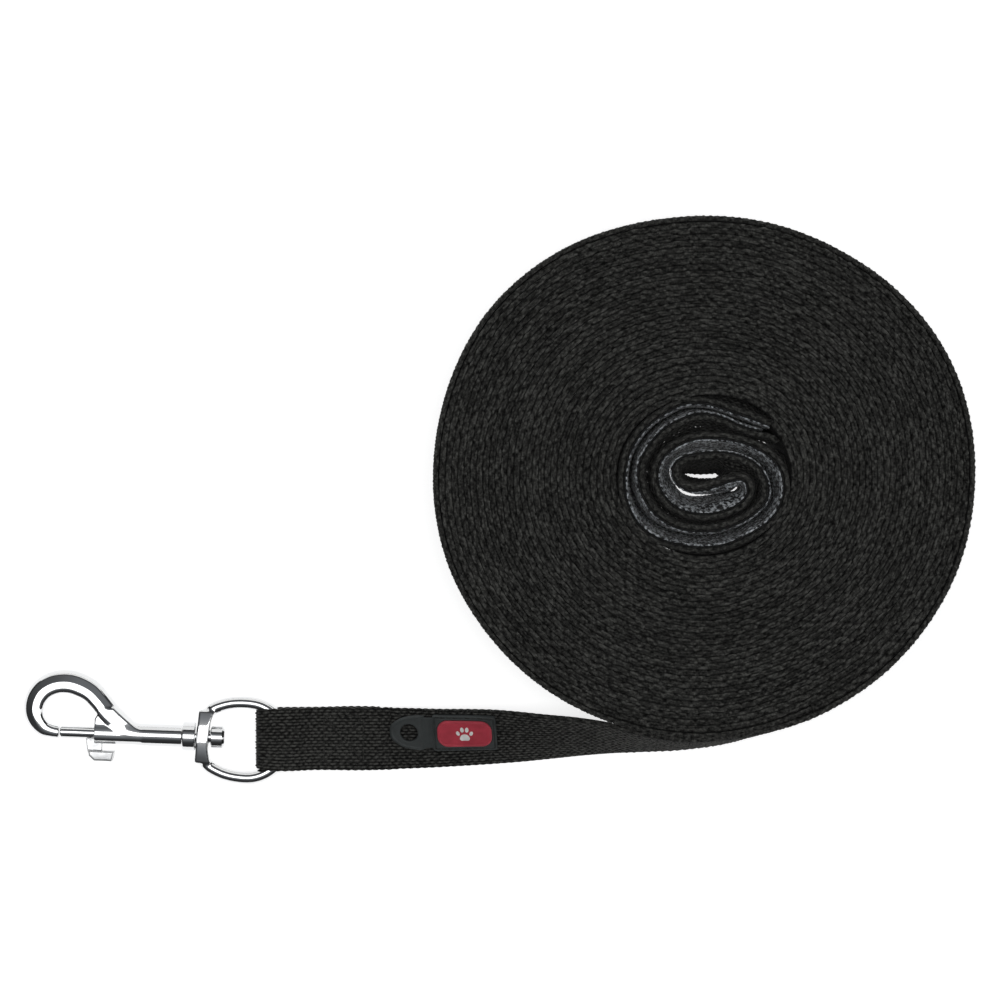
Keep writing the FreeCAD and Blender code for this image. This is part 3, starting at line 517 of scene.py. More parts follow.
def coil_piece(name, t0, t1, s_base, ds=0.52):
    p, t, tt, length = coil_line(t0, t1, ds)
    s = t + s_base
    tan = unit(np.gradient(p, axis=0))
    Td = np.stack([tan[:, 1] * -1, tan[:, 0], np.zeros(len(p))], 1)  # left of travel
    # clockwise travel: the left side points away from the middle
    # profile: share of the half thickness, height, share of the edge's relief
    b = np.array([1.0, 0.98, 0.82, 0.48, 0.0, -0.48, -0.82, -0.98, -1.0, -1.0, -0.6, 0.6, 1.0])
    z = np.array([18.5, 19.1, 19.62, 19.92, 19.60, 19.92, 19.62, 19.1, 18.5, 0.8, 0.12, 0.12, 0.8])
    top = np.array([0.0, 0.45, 0.95, 1.0, 0.55, 1.0, 0.95, 0.45, 0.0, 0, 0, 0, 0])
    rim = (z > 19.3).astype(float)
    # turns press against each other: each fills half the room on its two sides
    here = coil_radius(tt)
    outer = coil_radius(tt + 1) - here
    half_out = np.where(tt + 1 >= LAST, outer - HALF_T, outer / 2) - 0.004
    half_in = np.where(tt < 1, 1.06, (here - coil_radius(np.maximum(tt - 1, 0))) / 2 - 0.004)
    half = np.where(b[None, :] > 0, np.clip(half_out, 0.85, 1.5)[:, None], np.clip(half_in, 0.85, 1.5)[:, None])
    half = half * (1 - rim[None, :]) + np.minimum(half, 0.98) * rim[None, :]
    slip = 1.1 * wander(s, (161.0, 47.0, 14.3), 5)
    ph = s / (2 * PICK) + slip
    wave = 0.5 + 0.5 * np.cos(np.pi * ph)
    r2 = np.random.default_rng(77).random((2, 4999))
    quick_ = 0.5 + 0.5 * np.cos(2 * np.pi * ph + 0.7)
    one = (0.62 * wave ** 0.8 + 0.38 * quick_) * (0.55 + 0.75 * r2[0][np.round(ph / 2).astype(int) % 4999])
    two = (0.62 * (1 - wave) ** 0.8 + 0.38 * (1 - quick_)) * (0.55 + 0.75 * r2[1][np.round((ph - 1) / 2).astype(int) % 4999])
    side = np.sign(b)[None, :]
    bump = np.where(side > 0, one[:, None], np.where(side < 0, two[:, None], 0.75 * np.maximum(one, two)[:, None]))
    grain = 1.0 + 0.22 * rng.standard_normal(bump.shape)
    dz = top[None, :] * (bump - 0.55) * 0.95 * grain
    db = top[None, :] * side * (bump - 0.5) * 0.20
    lift = 0.30 * wander(s, (310.0, 171.0, 83.0), 8) + 0.16 * wander(s, (47.0, 31.0, 19.0), 9)
    sway = 0.22 * wander(s, (210.0, 57.0, 23.0), 12)
    Z = z[None, :] + dz + lift[:, None] * (z[None, :] > 10)
    # at the sewn joint the strap's lower edge tucks in under the loop
    tuck = 5.2 * np.exp(-(((tt - 0.078) / 0.085) ** 2))
    V = p[:, None, :] + Td[:, None, :] * (b[None, :] * half + db + sway[:, None] * rim[None, :] - tuck[:, None] * (1 - z[None, :] / 19.0).clip(0, 1))[..., None]
    V[..., 2] = np.maximum(Z, 0.01)
    V = V + np.array([SX, SY, 0.0])
    lay = np.stack([np.broadcast_to(s[:, None], bump.shape), np.broadcast_to(z[None, :] - 10, bump.shape), np.broadcast_to(b[None, :], bump.shape)], -1)
    # painted light and shade: the raised yarns on the top edge are lighter, the strap's sides and the crevices
    # between turns get the darkest tone
    painted_relief_light = np.clip(top[None, :] * 1.3, 0, 1) * (0.20 + 0.62 * bump) * (0.8 + 0.2 * grain)
    o = new_object(name, tube(name, V, lay, painted_relief_light=painted_relief_light), MAT_COIL)
    return o, length


LAST = S_TOT - 1.0
cuts = [0.0, 0.43 * LAST, 0.75 * LAST, LAST]
s_at = 0.0
for i, nm in enumerate(("strap_coil_inner", "strap_coil_middle", "strap_coil_outer")):
    o, length = coil_piece(nm, cuts[i], cuts[i + 1], s_at)
    s_at += length
    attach(o, "leash")
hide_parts("strap_coil")

# ------------------------------------------- last turn, lead and sewn end ----
# One line, from the cut end of the folded tail, round the eye, along the lead
# and once round the coil.  Stations of the lead: (x, y, z) of the strap's
# lower edge, heading and lean in degrees.
LEAD = [
    (-33.0, -86.40, 0.0, 1.8, 9.5),
    (-26.0, -86.05, 0.0, 2.6, 14.0),
    (-19.35, -85.65, 0.0, 3.4, 18.5),
    (-10.0, -85.00, 0.0, 4.2, 23.0),
    (-1.3, -84.30, 0.0, 4.9, 28.0),
    (6.5, -83.55, 0.0, 5.8, 34.5),
    (15.2, -82.50, 0.0, 6.6, 42.7),
    (25.2, -81.30, 0.0, 6.2, 50.8),
    (34.5, -80.40, 0.0, 4.4, 59.0),
    (42.9, -79.90, 0.0, 3.2, 68.0),
    (50.6, -79.50, 0.0, 3.6, 73.8),
    (58.4, -78.95, 0.0, 4.8, 78.3),
]
# then round the coil: clockwise angle, outermost radius and lean
for ang_, ext_, lean_ in ((86.0, 83.5, 81.2), (81.0, 82.6, 83.4), (76.0, 81.9, 85.6), (70.5, 81.3, 87.9)):
    rr_ = ext_ - 2 * HALF_T * math.sin(math.radians(lean_))
    LEAD.append((CX + rr_ * math.cos(math.radians(-ang_)), CY + rr_ * math.sin(math.radians(-ang_)), 0.0, 90.0 - ang_, lean_))


def lead_frames():
    """Middle points and directions of the lead, dense."""
    st = np.array(LEAD)
    line = smooth_line(st, 40)
    head = np.radians(line[:, 3])
    lean = np.radians(line[:, 4])
    left = np.stack([-np.sin(head), np.cos(head), np.zeros(len(line))], 1)
    zz = np.zeros_like(left)
    zz[:, 2] = 1.0
    wide = left * np.cos(lean)[:, None] + zz * np.sin(lean)[:, None]
    up = -left * np.sin(lean)[:, None] + zz * np.cos(lean)[:, None]
    mid = line[:, :3] + wide * (WIDE / 2) + up * HALF_T
    return mid, wide, up


def frames_end():
    """Tail, fold and top layer, in the XZ plane at the sewn end's middle."""
    yc = -76.75
    low = [(-38.6, 1.0), (-45.0, 0.98), (-52.0, 0.98), (-58.0, 1.0), (-64.0, 1.05), (-69.0, 1.12), (-72.0, 1.2)]
    turn = []
    for ang in (-112, -135, -158, 180, 158, 135, 112):
        t = math.radians(ang)
        turn.append((-74.0 + 3.55 * math.cos(t), 4.72 + 3.5 * math.sin(t)))
    top = [(-73.4, 8.2), (-71.0, 8.28), (-68.6, 8.05), (-66.5, 7.3), (-64.2, 5.75), (-61.8, 4.25), (-59.2, 3.3), (-56.0, 2.98), (-50.0, 2.95), (-44.0, 2.95), (-39.5, 2.85), (-37.4, 2.45), (-35.6, 1.85)]
    pts = np.array([(x, z) for x, z in low + turn + top])
    line = smooth_line(pts, 16)
    p = np.stack([line[:, 0], np.full(len(line), yc), line[:, 1]], 1)
    tan = unit(np.gradient(p, axis=0))
    wide = np.zeros_like(p)
    wide[:, 1] = 1.0
    up = np.cross(tan, wide)
    # on the top layer, where the travel is +X, the upper face is up
    return p, wide, up


def build_outer():
    mid, wide, up = lead_frames()
    # the coil's end: strap middle on the last turn, on its edge
    turns = np.linspace(S_TOT, LAST, 1441)
    a = np.radians(A_START + 360.0 * turns)
    r = coil_radius(turns)
    pc = np.stack([CX + r * np.cos(-a), CY + r * np.sin(-a), np.full(len(turns), WIDE / 2)], 1)
    tan = unit(np.gradient(pc, axis=0))
    upc = np.stack([tan[:, 1], -tan[:, 0], np.zeros(len(pc))], 1)  # right of travel: outwards
    widec = np.zeros_like(pc)
    widec[:, 2] = 1.0
    return (mid, wide, up), (pc, widec, upc)


(lm, lw, lu), (cm, cw, cu) = build_outer()
em, ew, eu = frames_end()


def bridge(p0, w0, u0, p1, w1, u1, n=60, pull=0.4):
    """Smooth stretch between two ends with given directions (lists of last
    and first points, so that the directions come from them)."""
    d = np.linalg.norm(p1[0] - p0[-1]) * pull
    t0 = unit(p0[-1] - p0[-2])
    t1 = unit(p1[1] - p1[0])
    t = np.linspace(0, 1, n)[1:-1, None]
    b0, b1, b2, b3 = (1 - t) ** 3, 3 * t * (1 - t) ** 2, 3 * t * t * (1 - t), t**3
    q = b0 * p0[-1] + b1 * (p0[-1] + t0 * d) + b2 * (p1[0] - t1 * d) + b3 * p1[0]
    e = t * t * (3 - 2 * t)
    w = unit(w0[-1] * (1 - e) + w1[0] * e)
    return q, w, unit(u0[-1] * (1 - e) + u1[0] * e)


b1 = bridge(em, ew, eu, lm, lw, lu, 24)
b2 = bridge(lm, lw, lu, cm, cw, cu, 30, 0.36)
P = np.vstack([em, b1[0], lm, b2[0], cm])
W = np.vstack([ew, b1[1], lw, b2[1], cw])
U = np.vstack([eu, b1[2], lu, b2[2], cu])
keep = np.concatenate([[True], np.linalg.norm(np.diff(P, axis=0), axis=1) > 1e-4])
P, W, U = P[keep], W[keep], U[keep]
S = arc_len(P)
DS = PICK / 3.0
n_all = int(round(S[-1] / DS)) + 1
sq = np.linspace(0, S[-1], n_all)


def along(M):
    return np.stack([blur(np.interp(sq, S, M[:, k]), 2) for k in range(3)], 1)


P, W, U = along(P), along(W), along(U)
T = unit(np.gradient(P, axis=0))
W = unit(W - T * np.sum(W * T, 1)[:, None])
U = unit(np.cross(T, W))
# U is the face that shows on the lead: up on the flat part
coil_start = S[-1] - arc_len(cm)[-1]
print("lead and end", round(coil_start, 1), "mm; last turn", round(S[-1] - coil_start, 1), "mm; inner turns", round(s_at, 1), "mm")

# width: pinched where it goes through the eye
fold_at = arc_len(em)
fold_mid = fold_at[np.argmin(em[:, 0])]
width = 1.0 - 0.075 * np.exp(-(((sq - fold_mid) / 5.0) ** 2))
width = width + 0.03 * np.exp(-(((sq - 8.0) / 9.0) ** 2))

i_end = np.searchsorted(sq, coil_start)
free_end = strap_piece("strap_free_end", P[: i_end + 1], W[: i_end + 1], U[: i_end + 1], sq[: i_end + 1], face_profile(3), MAT_WEB, width[: i_end + 1])
outer = strap_piece("strap_outer_turn", P[i_end:], W[i_end:], U[i_end:], sq[i_end:], face_profile(3, True, False), MAT_WEB)
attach(outer, "leash")
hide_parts("strap_fold", "strap_bend", "strap_tail", "strap_lead")
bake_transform(free_end)

# --------------------------------------------------------- the hand loop ----
# The loop is pressed flat and rolled up: the knit lining faces itself, and
# the strap is on the lining's other side.  LOOP is the top edge of the knit
# face (x, y) in mm, and how far the layers lean towards the loop's inside at
# the bottom.  The last three points hold the strap only.
LOOP = [
    (85.75, 22.61, 0.0), (81.91, 24.07, 0.2), (78.08, 25.48, 0.2), (73.48, 27.02, 0.2), (69.27, 28.55, 0.1), (65.43, 29.58, 0.1),
    (61.60, 29.97, 0.1), (58.54, 29.70, 0.1), (56.24, 28.82, 0.2), (52.02, 26.44, 0.3), (47.81, 23.38, 0.4), (44.74, 19.93, 0.5),
    (42.25, 16.10, 0.7), (40.83, 11.88, 1.0), (40.14, 7.28, 1.3), (40.22, 3.45, 1.5), (40.91, -0.38, 1.5), (42.44, -4.22, 1.3),
    (44.93, -7.86, 1.2), (47.81, -10.16, 1.2), (51.26, -11.88, 1.4), (54.70, -12.95, 1.5), (58.54, -13.80, 1.6), (63.90, -14.26, 1.6),
    (69.27, -13.80, 1.4), (73.48, -12.57, 1.4), (77.31, -10.73, 1.4), (81.15, -8.62, 1.4), (84.60, -6.13, 1.5), (87.28, -2.68, 1.6),
    (88.81, 1.15, 1.7), (89.12, 4.60, 1.7), (88.43, 8.43, 1.7), (86.89, 11.11, 1.7), (84.60, 13.41, 1.7), (81.91, 15.14, 1.7),
    (78.85, 16.67, 1.7), (75.40, 17.70, 1.7), (71.57, 18.47, 1.7), (67.35, 18.78, 1.7), (63.52, 18.78, 1.8), (60.07, 18.09, 1.8),
    (57.00, 16.78, 1.8), (53.94, 14.75, 1.8), (51.64, 12.26, 1.8), (50.57, 9.20, 1.8), (50.57, 6.13, 1.8), (51.56, 3.26, 1.9),
    (53.36, 0.57, 2.2), (55.66, -1.53, 2.6), (58.54, -2.91, 4.1), (61.60, -3.60, 4.4), (65.05, -3.76, 4.3), (68.88, -3.22, 3.8),
    (72.33, -2.15, 3.0), (75.40, -0.46, 2.1), (77.24, 1.72, 1.2), (77.62, 3.64, 1.0), (77.12, 5.06, 0.9), (75.97, 5.75, 0.9),
    (73.87, 5.44, 1.0), (71.57, 4.68, 0.9), (68.50, 3.64, -0.6), (65.43, 2.61, -1.7), (62.37, 2.11, -2.5), (59.69, 2.30, -2.7),
    (57.00, 3.45, -2.6), (54.90, 5.37, -2.6), (53.82, 8.05, -2.4), (53.94, 10.73, -2.6), (55.09, 12.65, -3.0), (57.39, 14.18, -3.4),
    (60.07, 15.14, -4.3), (63.90, 15.71, -5.0), (67.73, 16.02, -5.2), (71.57, 15.79, -4.6), (75.40, 14.95, -3.2), (79.23, 13.41, -1.4),
    (82.30, 11.11, -0.5), (84.40, 8.05, 0.0), (85.55, 4.60, 0.0), (85.55, 1.53, 0.0), (84.60, -1.15, 0.0), (82.30, -3.64, 0.0),
    (79.23, -6.13, 0.0), (75.40, -8.24, 0.0), (71.57, -9.58, 0.0), (67.73, -10.42, 0.0), (63.90, -10.73, 0.0), (60.07, -10.42, 0.0),
    (56.62, -9.77, 0.0), (53.17, -8.43, 0.1), (50.11, -6.32, 0.2), (47.42, -3.83, 0.4), (45.32, -0.77, 0.8), (43.78, 2.68, 1.1),
    (42.94, 6.51, 1.2), (42.90, 9.58, 1.3), (43.78, 13.03, 1.4), (45.51, 16.29, 1.5), (47.81, 19.54, 1.6), (50.49, 22.42, 1.7),
    (53.55, 24.53, 1.7), (56.62, 26.06, 1.6), (59.69, 27.40, 1.5), (63.14, 28.05, 1.0), (66.20, 27.90, 0.9), (69.27, 27.21, 0.9),
    (72.33, 26.06, 0.8), (75.40, 24.53, 0.7), (79.23, 23.18, 0.6), (83.64, 22.15, 0.4), (85.75, 21.54, 0.2), (87.58, 20.46, 0.0),
    (88.89, 18.78, 0.0),
]
N_LINED = len(LOOP) - 3


def loop_line(ds, lined):
    pts = np.array(LOOP[:N_LINED] if lined else LOOP)
    line = smooth_line(pts[:, :2], 16)
    lean = np.interp(np.linspace(0, len(pts) - 1, len(line)), np.arange(len(pts)), pts[:, 2])
    for _ in range(2):
        line = np.stack([blur(line[:, k], 5) for k in range(2)], 1)
        lean = blur(lean, 9)
    q, t, (lean,) = resample(line, ds, [lean])
    tan = unit(np.gradient(q, axis=0))
    for k in range(2):
        tan[:, k] = blur(tan[:, k], 3)
    tan = unit(tan)
    return q, t, lean, np.stack([-tan[:, 1], tan[:, 0]], 1)  # left of travel: the loop's inside


def facing(q, t, n, other, t_other=None):
    """Distance along n from each point to the nearest stretch of a line
    across from it, and which point that is."""
    d = other[None, :, :] - q[:, None, :]
    along_n = np.einsum("ijk,ik->ij", d, n)
    sideways = np.abs(d[..., 0] * n[:, None, 1] - d[..., 1] * n[:, None, 0])
    ok = (along_n > 0.0) & (sideways < 0.7)
    if t_other is not None:
        ok &= np.abs(t[:, None] - t_other[None, :]) > 9.0
    along_n = np.where(ok, along_n, 99.0)
    j = along_n.argmin(1)
    return along_n[np.arange(len(q)), j], j


def loop_leans():
    """Leans scaled so that facing layers meet at the bottom."""
    q, t, lean, n = loop_line(1.0, True)
    gap, j = facing(q, t, n, q, t)
    both = np.maximum(lean, 0) + np.maximum(lean[j], 0)
    # across from a layer that leans away, the near one reaches further under
    away = (lean[j] < -0.2) * (0.02 * np.maximum((q * n).sum(1), 0) + 0.35)
    k = np.where((gap < 5.2) & (both > 0.15), np.clip((gap - 0.1 + away) / np.maximum(both, 0.15), 0.5, 4.0), 1.0)
    new = np.where(lean > 0, lean * blur(k, 3), lean)
    return t, blur(new, 3)


LEAN_T, LEAN = loop_leans()


def loop_frames(ds, off, lined):
    q, t, lean, nrm = loop_line(ds, lined)
    lean = np.interp(t, LEAN_T, LEAN)
    ends = np.minimum(np.minimum(t, t[-1] - t) / 9.0, 1.0)
    off = off + (0.55 * (1 - ends) if off < -1.5 else 0.0)
    q = q + nrm * np.asarray(off).reshape(-1, 1)
    nd = np.stack([nrm[:, 0], nrm[:, 1], np.zeros(len(q))], 1)
    wide = np.stack([-nrm[:, 0] * lean / WIDE, -nrm[:, 1] * lean / WIDE, np.ones(len(q))], 1)
    mid = np.stack([q[:, 0], q[:, 1], np.zeros(len(q))], 1) + wide * (WIDE / 2)
    # q is where the top edge lies
    mid[:, :2] += nrm * lean[:, None]
    return mid, t, unit(wide), unit(nd + np.array([0, 0, 1.0]) * (lean / WIDE)[:, None])


def loop_swell(t):
    """How far the strap's outer face bows out to what is across from it."""
    q, tq, _, n = loop_line(0.8, False)
    lean = np.interp(tq, LEAN_T, LEAN)
    face = q - n * (1.95 + HALF_T)
    g1, j = facing(face, tq, -n, face, tq)
    tt_ = np.linspace(0.0, 1.2, 900)
    aa = np.radians(A_START + 360.0 * tt_)
    rr = coil_radius(tt_) - 1.06
    first = np.stack([CX + rr * np.cos(-aa), CY + rr * np.sin(-aa)], 1)
    g2, _ = facing(face, tq, -n, first)
    w1 = np.where(g1 < 5.4, g1 / 2 + 0.25 * np.abs(lean) + 0.04, 0.15)
    w2 = np.where(g2 < 3.6, g2 + 0.25 * np.abs(lean) + 0.04, 0.15)
    sw = np.where(g2 < g1, w2, w1)
    return np.interp(t, tq, blur(np.clip(sw, 0.0, 2.5), 2))


def knit_swell(t):
    """How far the padding swells, below its rim, towards what faces it."""
    q, tq, _, n = loop_line(0.8, True)
    lean = np.interp(tq, LEAN_T, LEAN)
    g, j = facing(q, tq, n, q, tq)
    room = g - np.maximum(lean, 0) - np.maximum(lean[j], 0)
    sw = np.where(g < 7.0, np.clip(room / 2 + 0.15, 0.0, 1.85), 0.1)
    return np.interp(t, tq, blur(sw, 2))


lm_ = Mat("lining_knit")
v_ = lm_.lay((1.0, 1.0, 1.0))
vor = lm_.node("ShaderNodeTexVoronoi", feature="F1")
vor.inputs["Scale"].default_value = 1050.0
lm_.link(v_, vor.inputs["Vector"])
spk = lm_.noise(v_, 720.0, 2.0, 0.55)
lr_ = lm_.node("ShaderNodeAttribute", attribute_name="painted_relief_light")
lr_.attribute_type = "GEOMETRY"
# painted light and shade: the relief attribute makes raised knit loops lighter and the hollows between them darker;
# the speckle noise is the knit's own random tone
sp_ = lm_.math("ADD", lr_.outputs["Fac"], lm_.math("MULTIPLY_ADD", spk, 3.2, -1.62))
tone_ = lm_.ramp(sp_, [(0.02, grey(0.008)), (0.26, grey(0.12, (0.94, 1.0, 1.05))), (0.55, grey(0.38, (0.94, 1.0, 1.05))), (0.9, grey(0.62, (0.95, 1.0, 1.04)))])
# the knit is on the loop's inside, over dark foam
sepl = lm_.node("ShaderNodeSeparateXYZ")
lm_.link(lm_.lay((1000.0, 1000.0, 1000.0)), sepl.inputs[0])
side_ = lm_.ramp(lm_.math("MULTIPLY_ADD", sepl.outputs["Z"], 0.5, 0.5), [(0.50, grey(0.0)), (0.58, grey(1.0))])
lm_.colour(lm_.mix(side_, grey(0.010), tone_))
lm_.set(Roughness=0.92, Sheen_Weight=0.15, Specular_IOR_Level=0.12)
lm_.normal(lm_.bump(vor.outputs["Distance"], 0.7, 0.0003))

pl, tl, wl, nl = loop_frames(DS, -1.95, False)
loop_strap = strap_piece("hand_loop_webbing", pl, wl, nl, tl + 3.1, face_profile(2), MAT_WEB, swell=loop_swell(tl))
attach(loop_strap, "leash")
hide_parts("hand_loop_strap")


def lining_piece():
    p, t, wd, nd = loop_frames(0.34, -0.45, True)
    half = 0.5
    prof = []
    for ang in range(0, 181, 20):
        c = math.radians(ang)
        prof.append((WIDE / 2 - 0.55 + 0.5 * math.sin(c) ** 0.8, half * math.cos(c)))
    for a_ in (6.5, 3.5, 0.5, -2.5, -5.5):
        prof.append((a_, -half))
    for ang in range(180, 361, 60):
        c = math.radians(ang)
        prof.append((-WIDE / 2 + 0.7 + 0.6 * math.sin(c), half * math.cos(c)))
    for a_ in np.arange(-8.2, 9.2, 0.55):
        prof.append((float(a_), half))
    a = np.array([q[0] for q in prof])
    b = np.array([q[1] for q in prof])
    r = np.random.default_rng(4)
    loops = r.random((len(p), len(prof)))
    knit = (b > 0.05)[None, :]
    # rows of loops across the knit, and its rolled upper edge
    rows = 0.5 + 0.5 * np.sin(2 * np.pi * t / 1.55 + 0.8 * wander(t, (13.0, 7.0), 2))[:, None]
    A = a[None, :] + 0.07 * (loops - 0.5) * (np.abs(a)[None, :] > 8.5)
    A = A + (0.20 * wander(t, (41.0, 17.0, 83.0), 21))[:, None] * (a[None, :] > 8)
    low = np.clip((9.0 - a) / 5.0, 0, 1)
    low = low * low * (3 - 2 * low)
    B = b[None, :] + np.where(knit, 0.20 * loops ** 2 + 0.10 * rows - 0.12, -0.03)
    B = B + knit * knit_swell(t)[:, None] * low[None, :]
    V = p[:, None, :] + wd[:, None, :] * A[..., None] + nd[:, None, :] * B[..., None]
    V = V + np.array([SX, SY, 0.0])
    V[..., 2] = np.maximum(V[..., 2], 0.02)
    lay = np.stack([np.broadcast_to(t[:, None], A.shape), np.broadcast_to(a[None, :], A.shape), np.broadcast_to(b[None, :], A.shape)], -1)
    # painted light and shade: loops and rows that stand higher are given a lighter tone
    painted_relief_light = np.where(knit, loops ** 1.6 * (0.55 + 0.45 * rows), 0.0)
    return new_object("hand_loop_padding", tube("hand_loop_padding", V, lay, painted_relief_light=painted_relief_light), lm_.mat)


lining = lining_piece()
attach(lining, "leash")
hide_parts("hand_loop_lining")

# ---------------------------------------------- cast and moulded pieces ----
# Cast metal and moulded rubber are smooth blends of simple forms, so they are
# meshed from a distance function: cells, then the points moved on to the form.
def smin(a, b, k):
    h = np.clip(0.5 + 0.5 * (b - a) / k, 0, 1)
    return b * (1 - h) + a * h - k * h * (1 - h)


def smax(a, b, k):
    return -smin(-a, -b, k)


def form_mesh(name, f, lo, hi, h, to_world, steps=3):
    ax = [np.arange(lo[i], hi[i] + h, h) for i in range(3)]
    X, Y, Z = np.meshgrid(*ax, indexing="ij")
    F = f(X, Y, Z)
    G = np.stack([X, Y, Z], -1)
    inside = F < 0
    nx, ny, nz = F.shape
    acc = np.zeros((nx - 1, ny - 1, nz - 1, 3))
    cnt = np.zeros((nx - 1, ny - 1, nz - 1))

    def cut(axis):
        sl0 = [slice(None)] * 3
        sl1 = [slice(None)] * 3
        sl0[axis] = slice(0, -1)
        sl1[axis] = slice(1, None)
        f0, f1 = F[tuple(sl0)], F[tuple(sl1)]
        hit = inside[tuple(sl0)] != inside[tuple(sl1)]
        t = np.where(hit, f0 / np.where(f0 == f1, 1, f0 - f1), 0)
        p = G[tuple(sl0)] + (G[tuple(sl1)] - G[tuple(sl0)]) * t[..., None]
        return hit, p

    hits = []
    for axis in range(3):
        hit, p = cut(axis)
        hits.append(hit)
        o1, o2 = [i for i in range(3) if i != axis]
        for d1 in (0, 1):
            for d2 in (0, 1):
                sl = [slice(None)] * 3
                sl[o1] = slice(d1, F.shape[o1] - 1 + d1)
                sl[o2] = slice(d2, F.shape[o2] - 1 + d2)
                hh = hit[tuple(sl)]
                acc += p[tuple(sl)] * hh[..., None]
                cnt += hh
    live = cnt > 0
    idx = -np.ones(live.shape, int)
    idx[live] = np.arange(live.sum())
    V = acc[live] / cnt[live][:, None]
    quads = []
    for axis in range(3):
        o1, o2 = [(1, 2), (2, 0), (0, 1)][axis]
        hit = hits[axis]
        sl = [slice(None)] * 3
        sl[o1] = slice(1, hit.shape[o1] - 1)
        sl[o2] = slice(1, hit.shape[o2] - 1)
        w = np.argwhere(hit[tuple(sl)])
        if not len(w):
            continue
        off = np.zeros(3, int)
        off[o1] += 1
        off[o2] += 1
        w = w + off
        e1 = np.zeros(3, int)
        e1[o1] = 1
        e2 = np.zeros(3, int)
        e2[o2] = 1
        c = [idx[tuple((w - e1 - e2).T)], idx[tuple((w - e2).T)], idx[tuple(w.T)], idx[tuple((w - e1).T)]]
        q = np.stack(c, 1)
        neg = ~inside[tuple(w.T)]
        q[neg] = q[neg][:, ::-1]
        quads.append(q)
    quads = np.vstack(quads)
    e = h * 0.05
    for _ in range(steps):
        x, y, z = V.T
        f0 = f(x, y, z)
        g = np.stack([f(x + e, y, z) - f(x - e, y, z), f(x, y + e, z) - f(x, y - e, z), f(x, y, z + e) - f(x, y, z - e)], 1) / (2 * e)
        step = f0[:, None] * g / np.maximum((g * g).sum(1), 1e-3)[:, None]
        n = np.linalg.norm(step, axis=1, keepdims=True)
        step *= np.minimum(1.0, 0.5 * h / np.maximum(n, 1e-9))
        V = V - step
    W3 = to_world(V)
    a0, b0, c0, d0 = (W3[quads[:, i]] for i in range(4))
    vol = np.einsum("ij,ij->i", a0, np.cross(b0, c0)).sum() + np.einsum("ij,ij->i", a0, np.cross(c0, d0)).sum()
    if vol < 0:
        quads = quads[:, ::-1]
    return raw_mesh(name, W3 * MM, quads)


def poly_dist(x, y, pts, closed=True):
    """Signed distance (negative inside) to a closed polygon, or distance and
    place along an open line."""
    pts = np.asarray(pts, float)
    best = np.full(x.shape, 1e9)
    inside = np.zeros(x.shape, bool)
    n = len(pts)
    for i in range(n if closed else n - 1):
        ax_, ay = pts[i]
        bx, by = pts[(i + 1) % n]
        ex, ey = bx - ax_, by - ay
        t = np.clip(((x - ax_) * ex + (y - ay) * ey) / (ex * ex + ey * ey), 0, 1)
        d = np.hypot(x - ax_ - ex * t, y - ay - ey * t)
        best = np.minimum(best, d)
        if closed:
            c = (ay > y) != (by > y)
            with np.errstate(divide="ignore", invalid="ignore"):
                xi = ax_ + (y - ay) / (by - ay if by != ay else 1e-9) * ex
            inside ^= c & (x < xi)
    return np.where(inside, -best, best) if closed else best


def line_fields(x, y, line, cols):
    """Distance to an open line and the columns at its nearest point."""
    best = np.full(x.shape, 1e9)
    out = [np.zeros(x.shape) for _ in cols]
    left = np.zeros(x.shape)
    for i in range(len(line) - 1):
        ax_, ay = line[i]
        ex, ey = line[i + 1] - line[i]
        t = np.clip(((x - ax_) * ex + (y - ay) * ey) / (ex * ex + ey * ey + 1e-12), 0, 1)
        d = np.hypot(x - ax_ - ex * t, y - ay - ey * t)
        m = d < best
        best = np.where(m, d, best)
        for o, c in zip(out, cols):
            o[m] = (c[i] + (c[i + 1] - c[i]) * t)[m]
        left[m] = np.sign(ex * (y - ay) - ey * (x - ax_))[m]
    return best, out, left


def cached2d(fn):
    """Evaluates a plan field once per column of a regular grid."""
    def run(x, y):
        if x.ndim == 3:
            v = fn(x[:, :, 0], y[:, :, 0])
            return [q[:, :, None] for q in v]
        return fn(x, y)
    return run


AX_Z = 4.75
SNAP = math.radians(-2.0)
EYE = math.radians(-5.0)


def snap_world(V):
    c, s_ = math.cos(SNAP), math.sin(SNAP)
    return np.stack([-95.03 + SX + V[:, 0] * c - V[:, 1] * s_, -75.96 + SY + V[:, 0] * s_ + V[:, 1] * c, V[:, 2] + AX_Z], 1)


def eye_world(V):
    c, s_ = math.cos(EYE), math.sin(EYE)
    return np.stack([-95.03 + SX + V[:, 0] * c - V[:, 1] * s_, -75.96 + SY + V[:, 0] * s_ + V[:, 1] * c, V[:, 2] + AX_Z], 1)


# Hook: (u, v, half width, half height) along its middle, from the nose.
HOOK = np.array([
    (-46.50, -0.07, 2.13, 2.25), (-49.0, 0.20, 2.28, 2.4), (-51.4, 0.95, 2.65, 2.7), (-53.4, 2.9, 2.98, 3.0),
    (-54.5, 5.25, 3.3, 3.15), (-54.75, 7.9, 3.47, 3.25), (-53.95, 10.85, 3.65, 3.3), (-52.1, 13.4, 3.77, 3.3),
    (-49.3, 15.2, 3.85, 3.3), (-46.35, 15.98, 3.88, 3.3), (-43.1, 15.95, 3.9, 3.3), (-39.7, 14.95, 3.88, 3.3),
    (-36.6, 13.3, 3.75, 3.3), (-34.2, 11.0, 3.65, 3.3), (-32.0, 8.5, 3.6, 3.3), (-29.7, 6.0, 3.55, 3.35),
    (-27.2, 3.8, 3.5, 3.4), (-24.5, 2.0, 3.15, 3.2), (-21.5, 0.65, 2.6, 2.7), (-18.0, -0.1, 1.8, 1.8),
])
hl = smooth_line(HOOK, 8)
hs = arc_len(hl[:, :2])


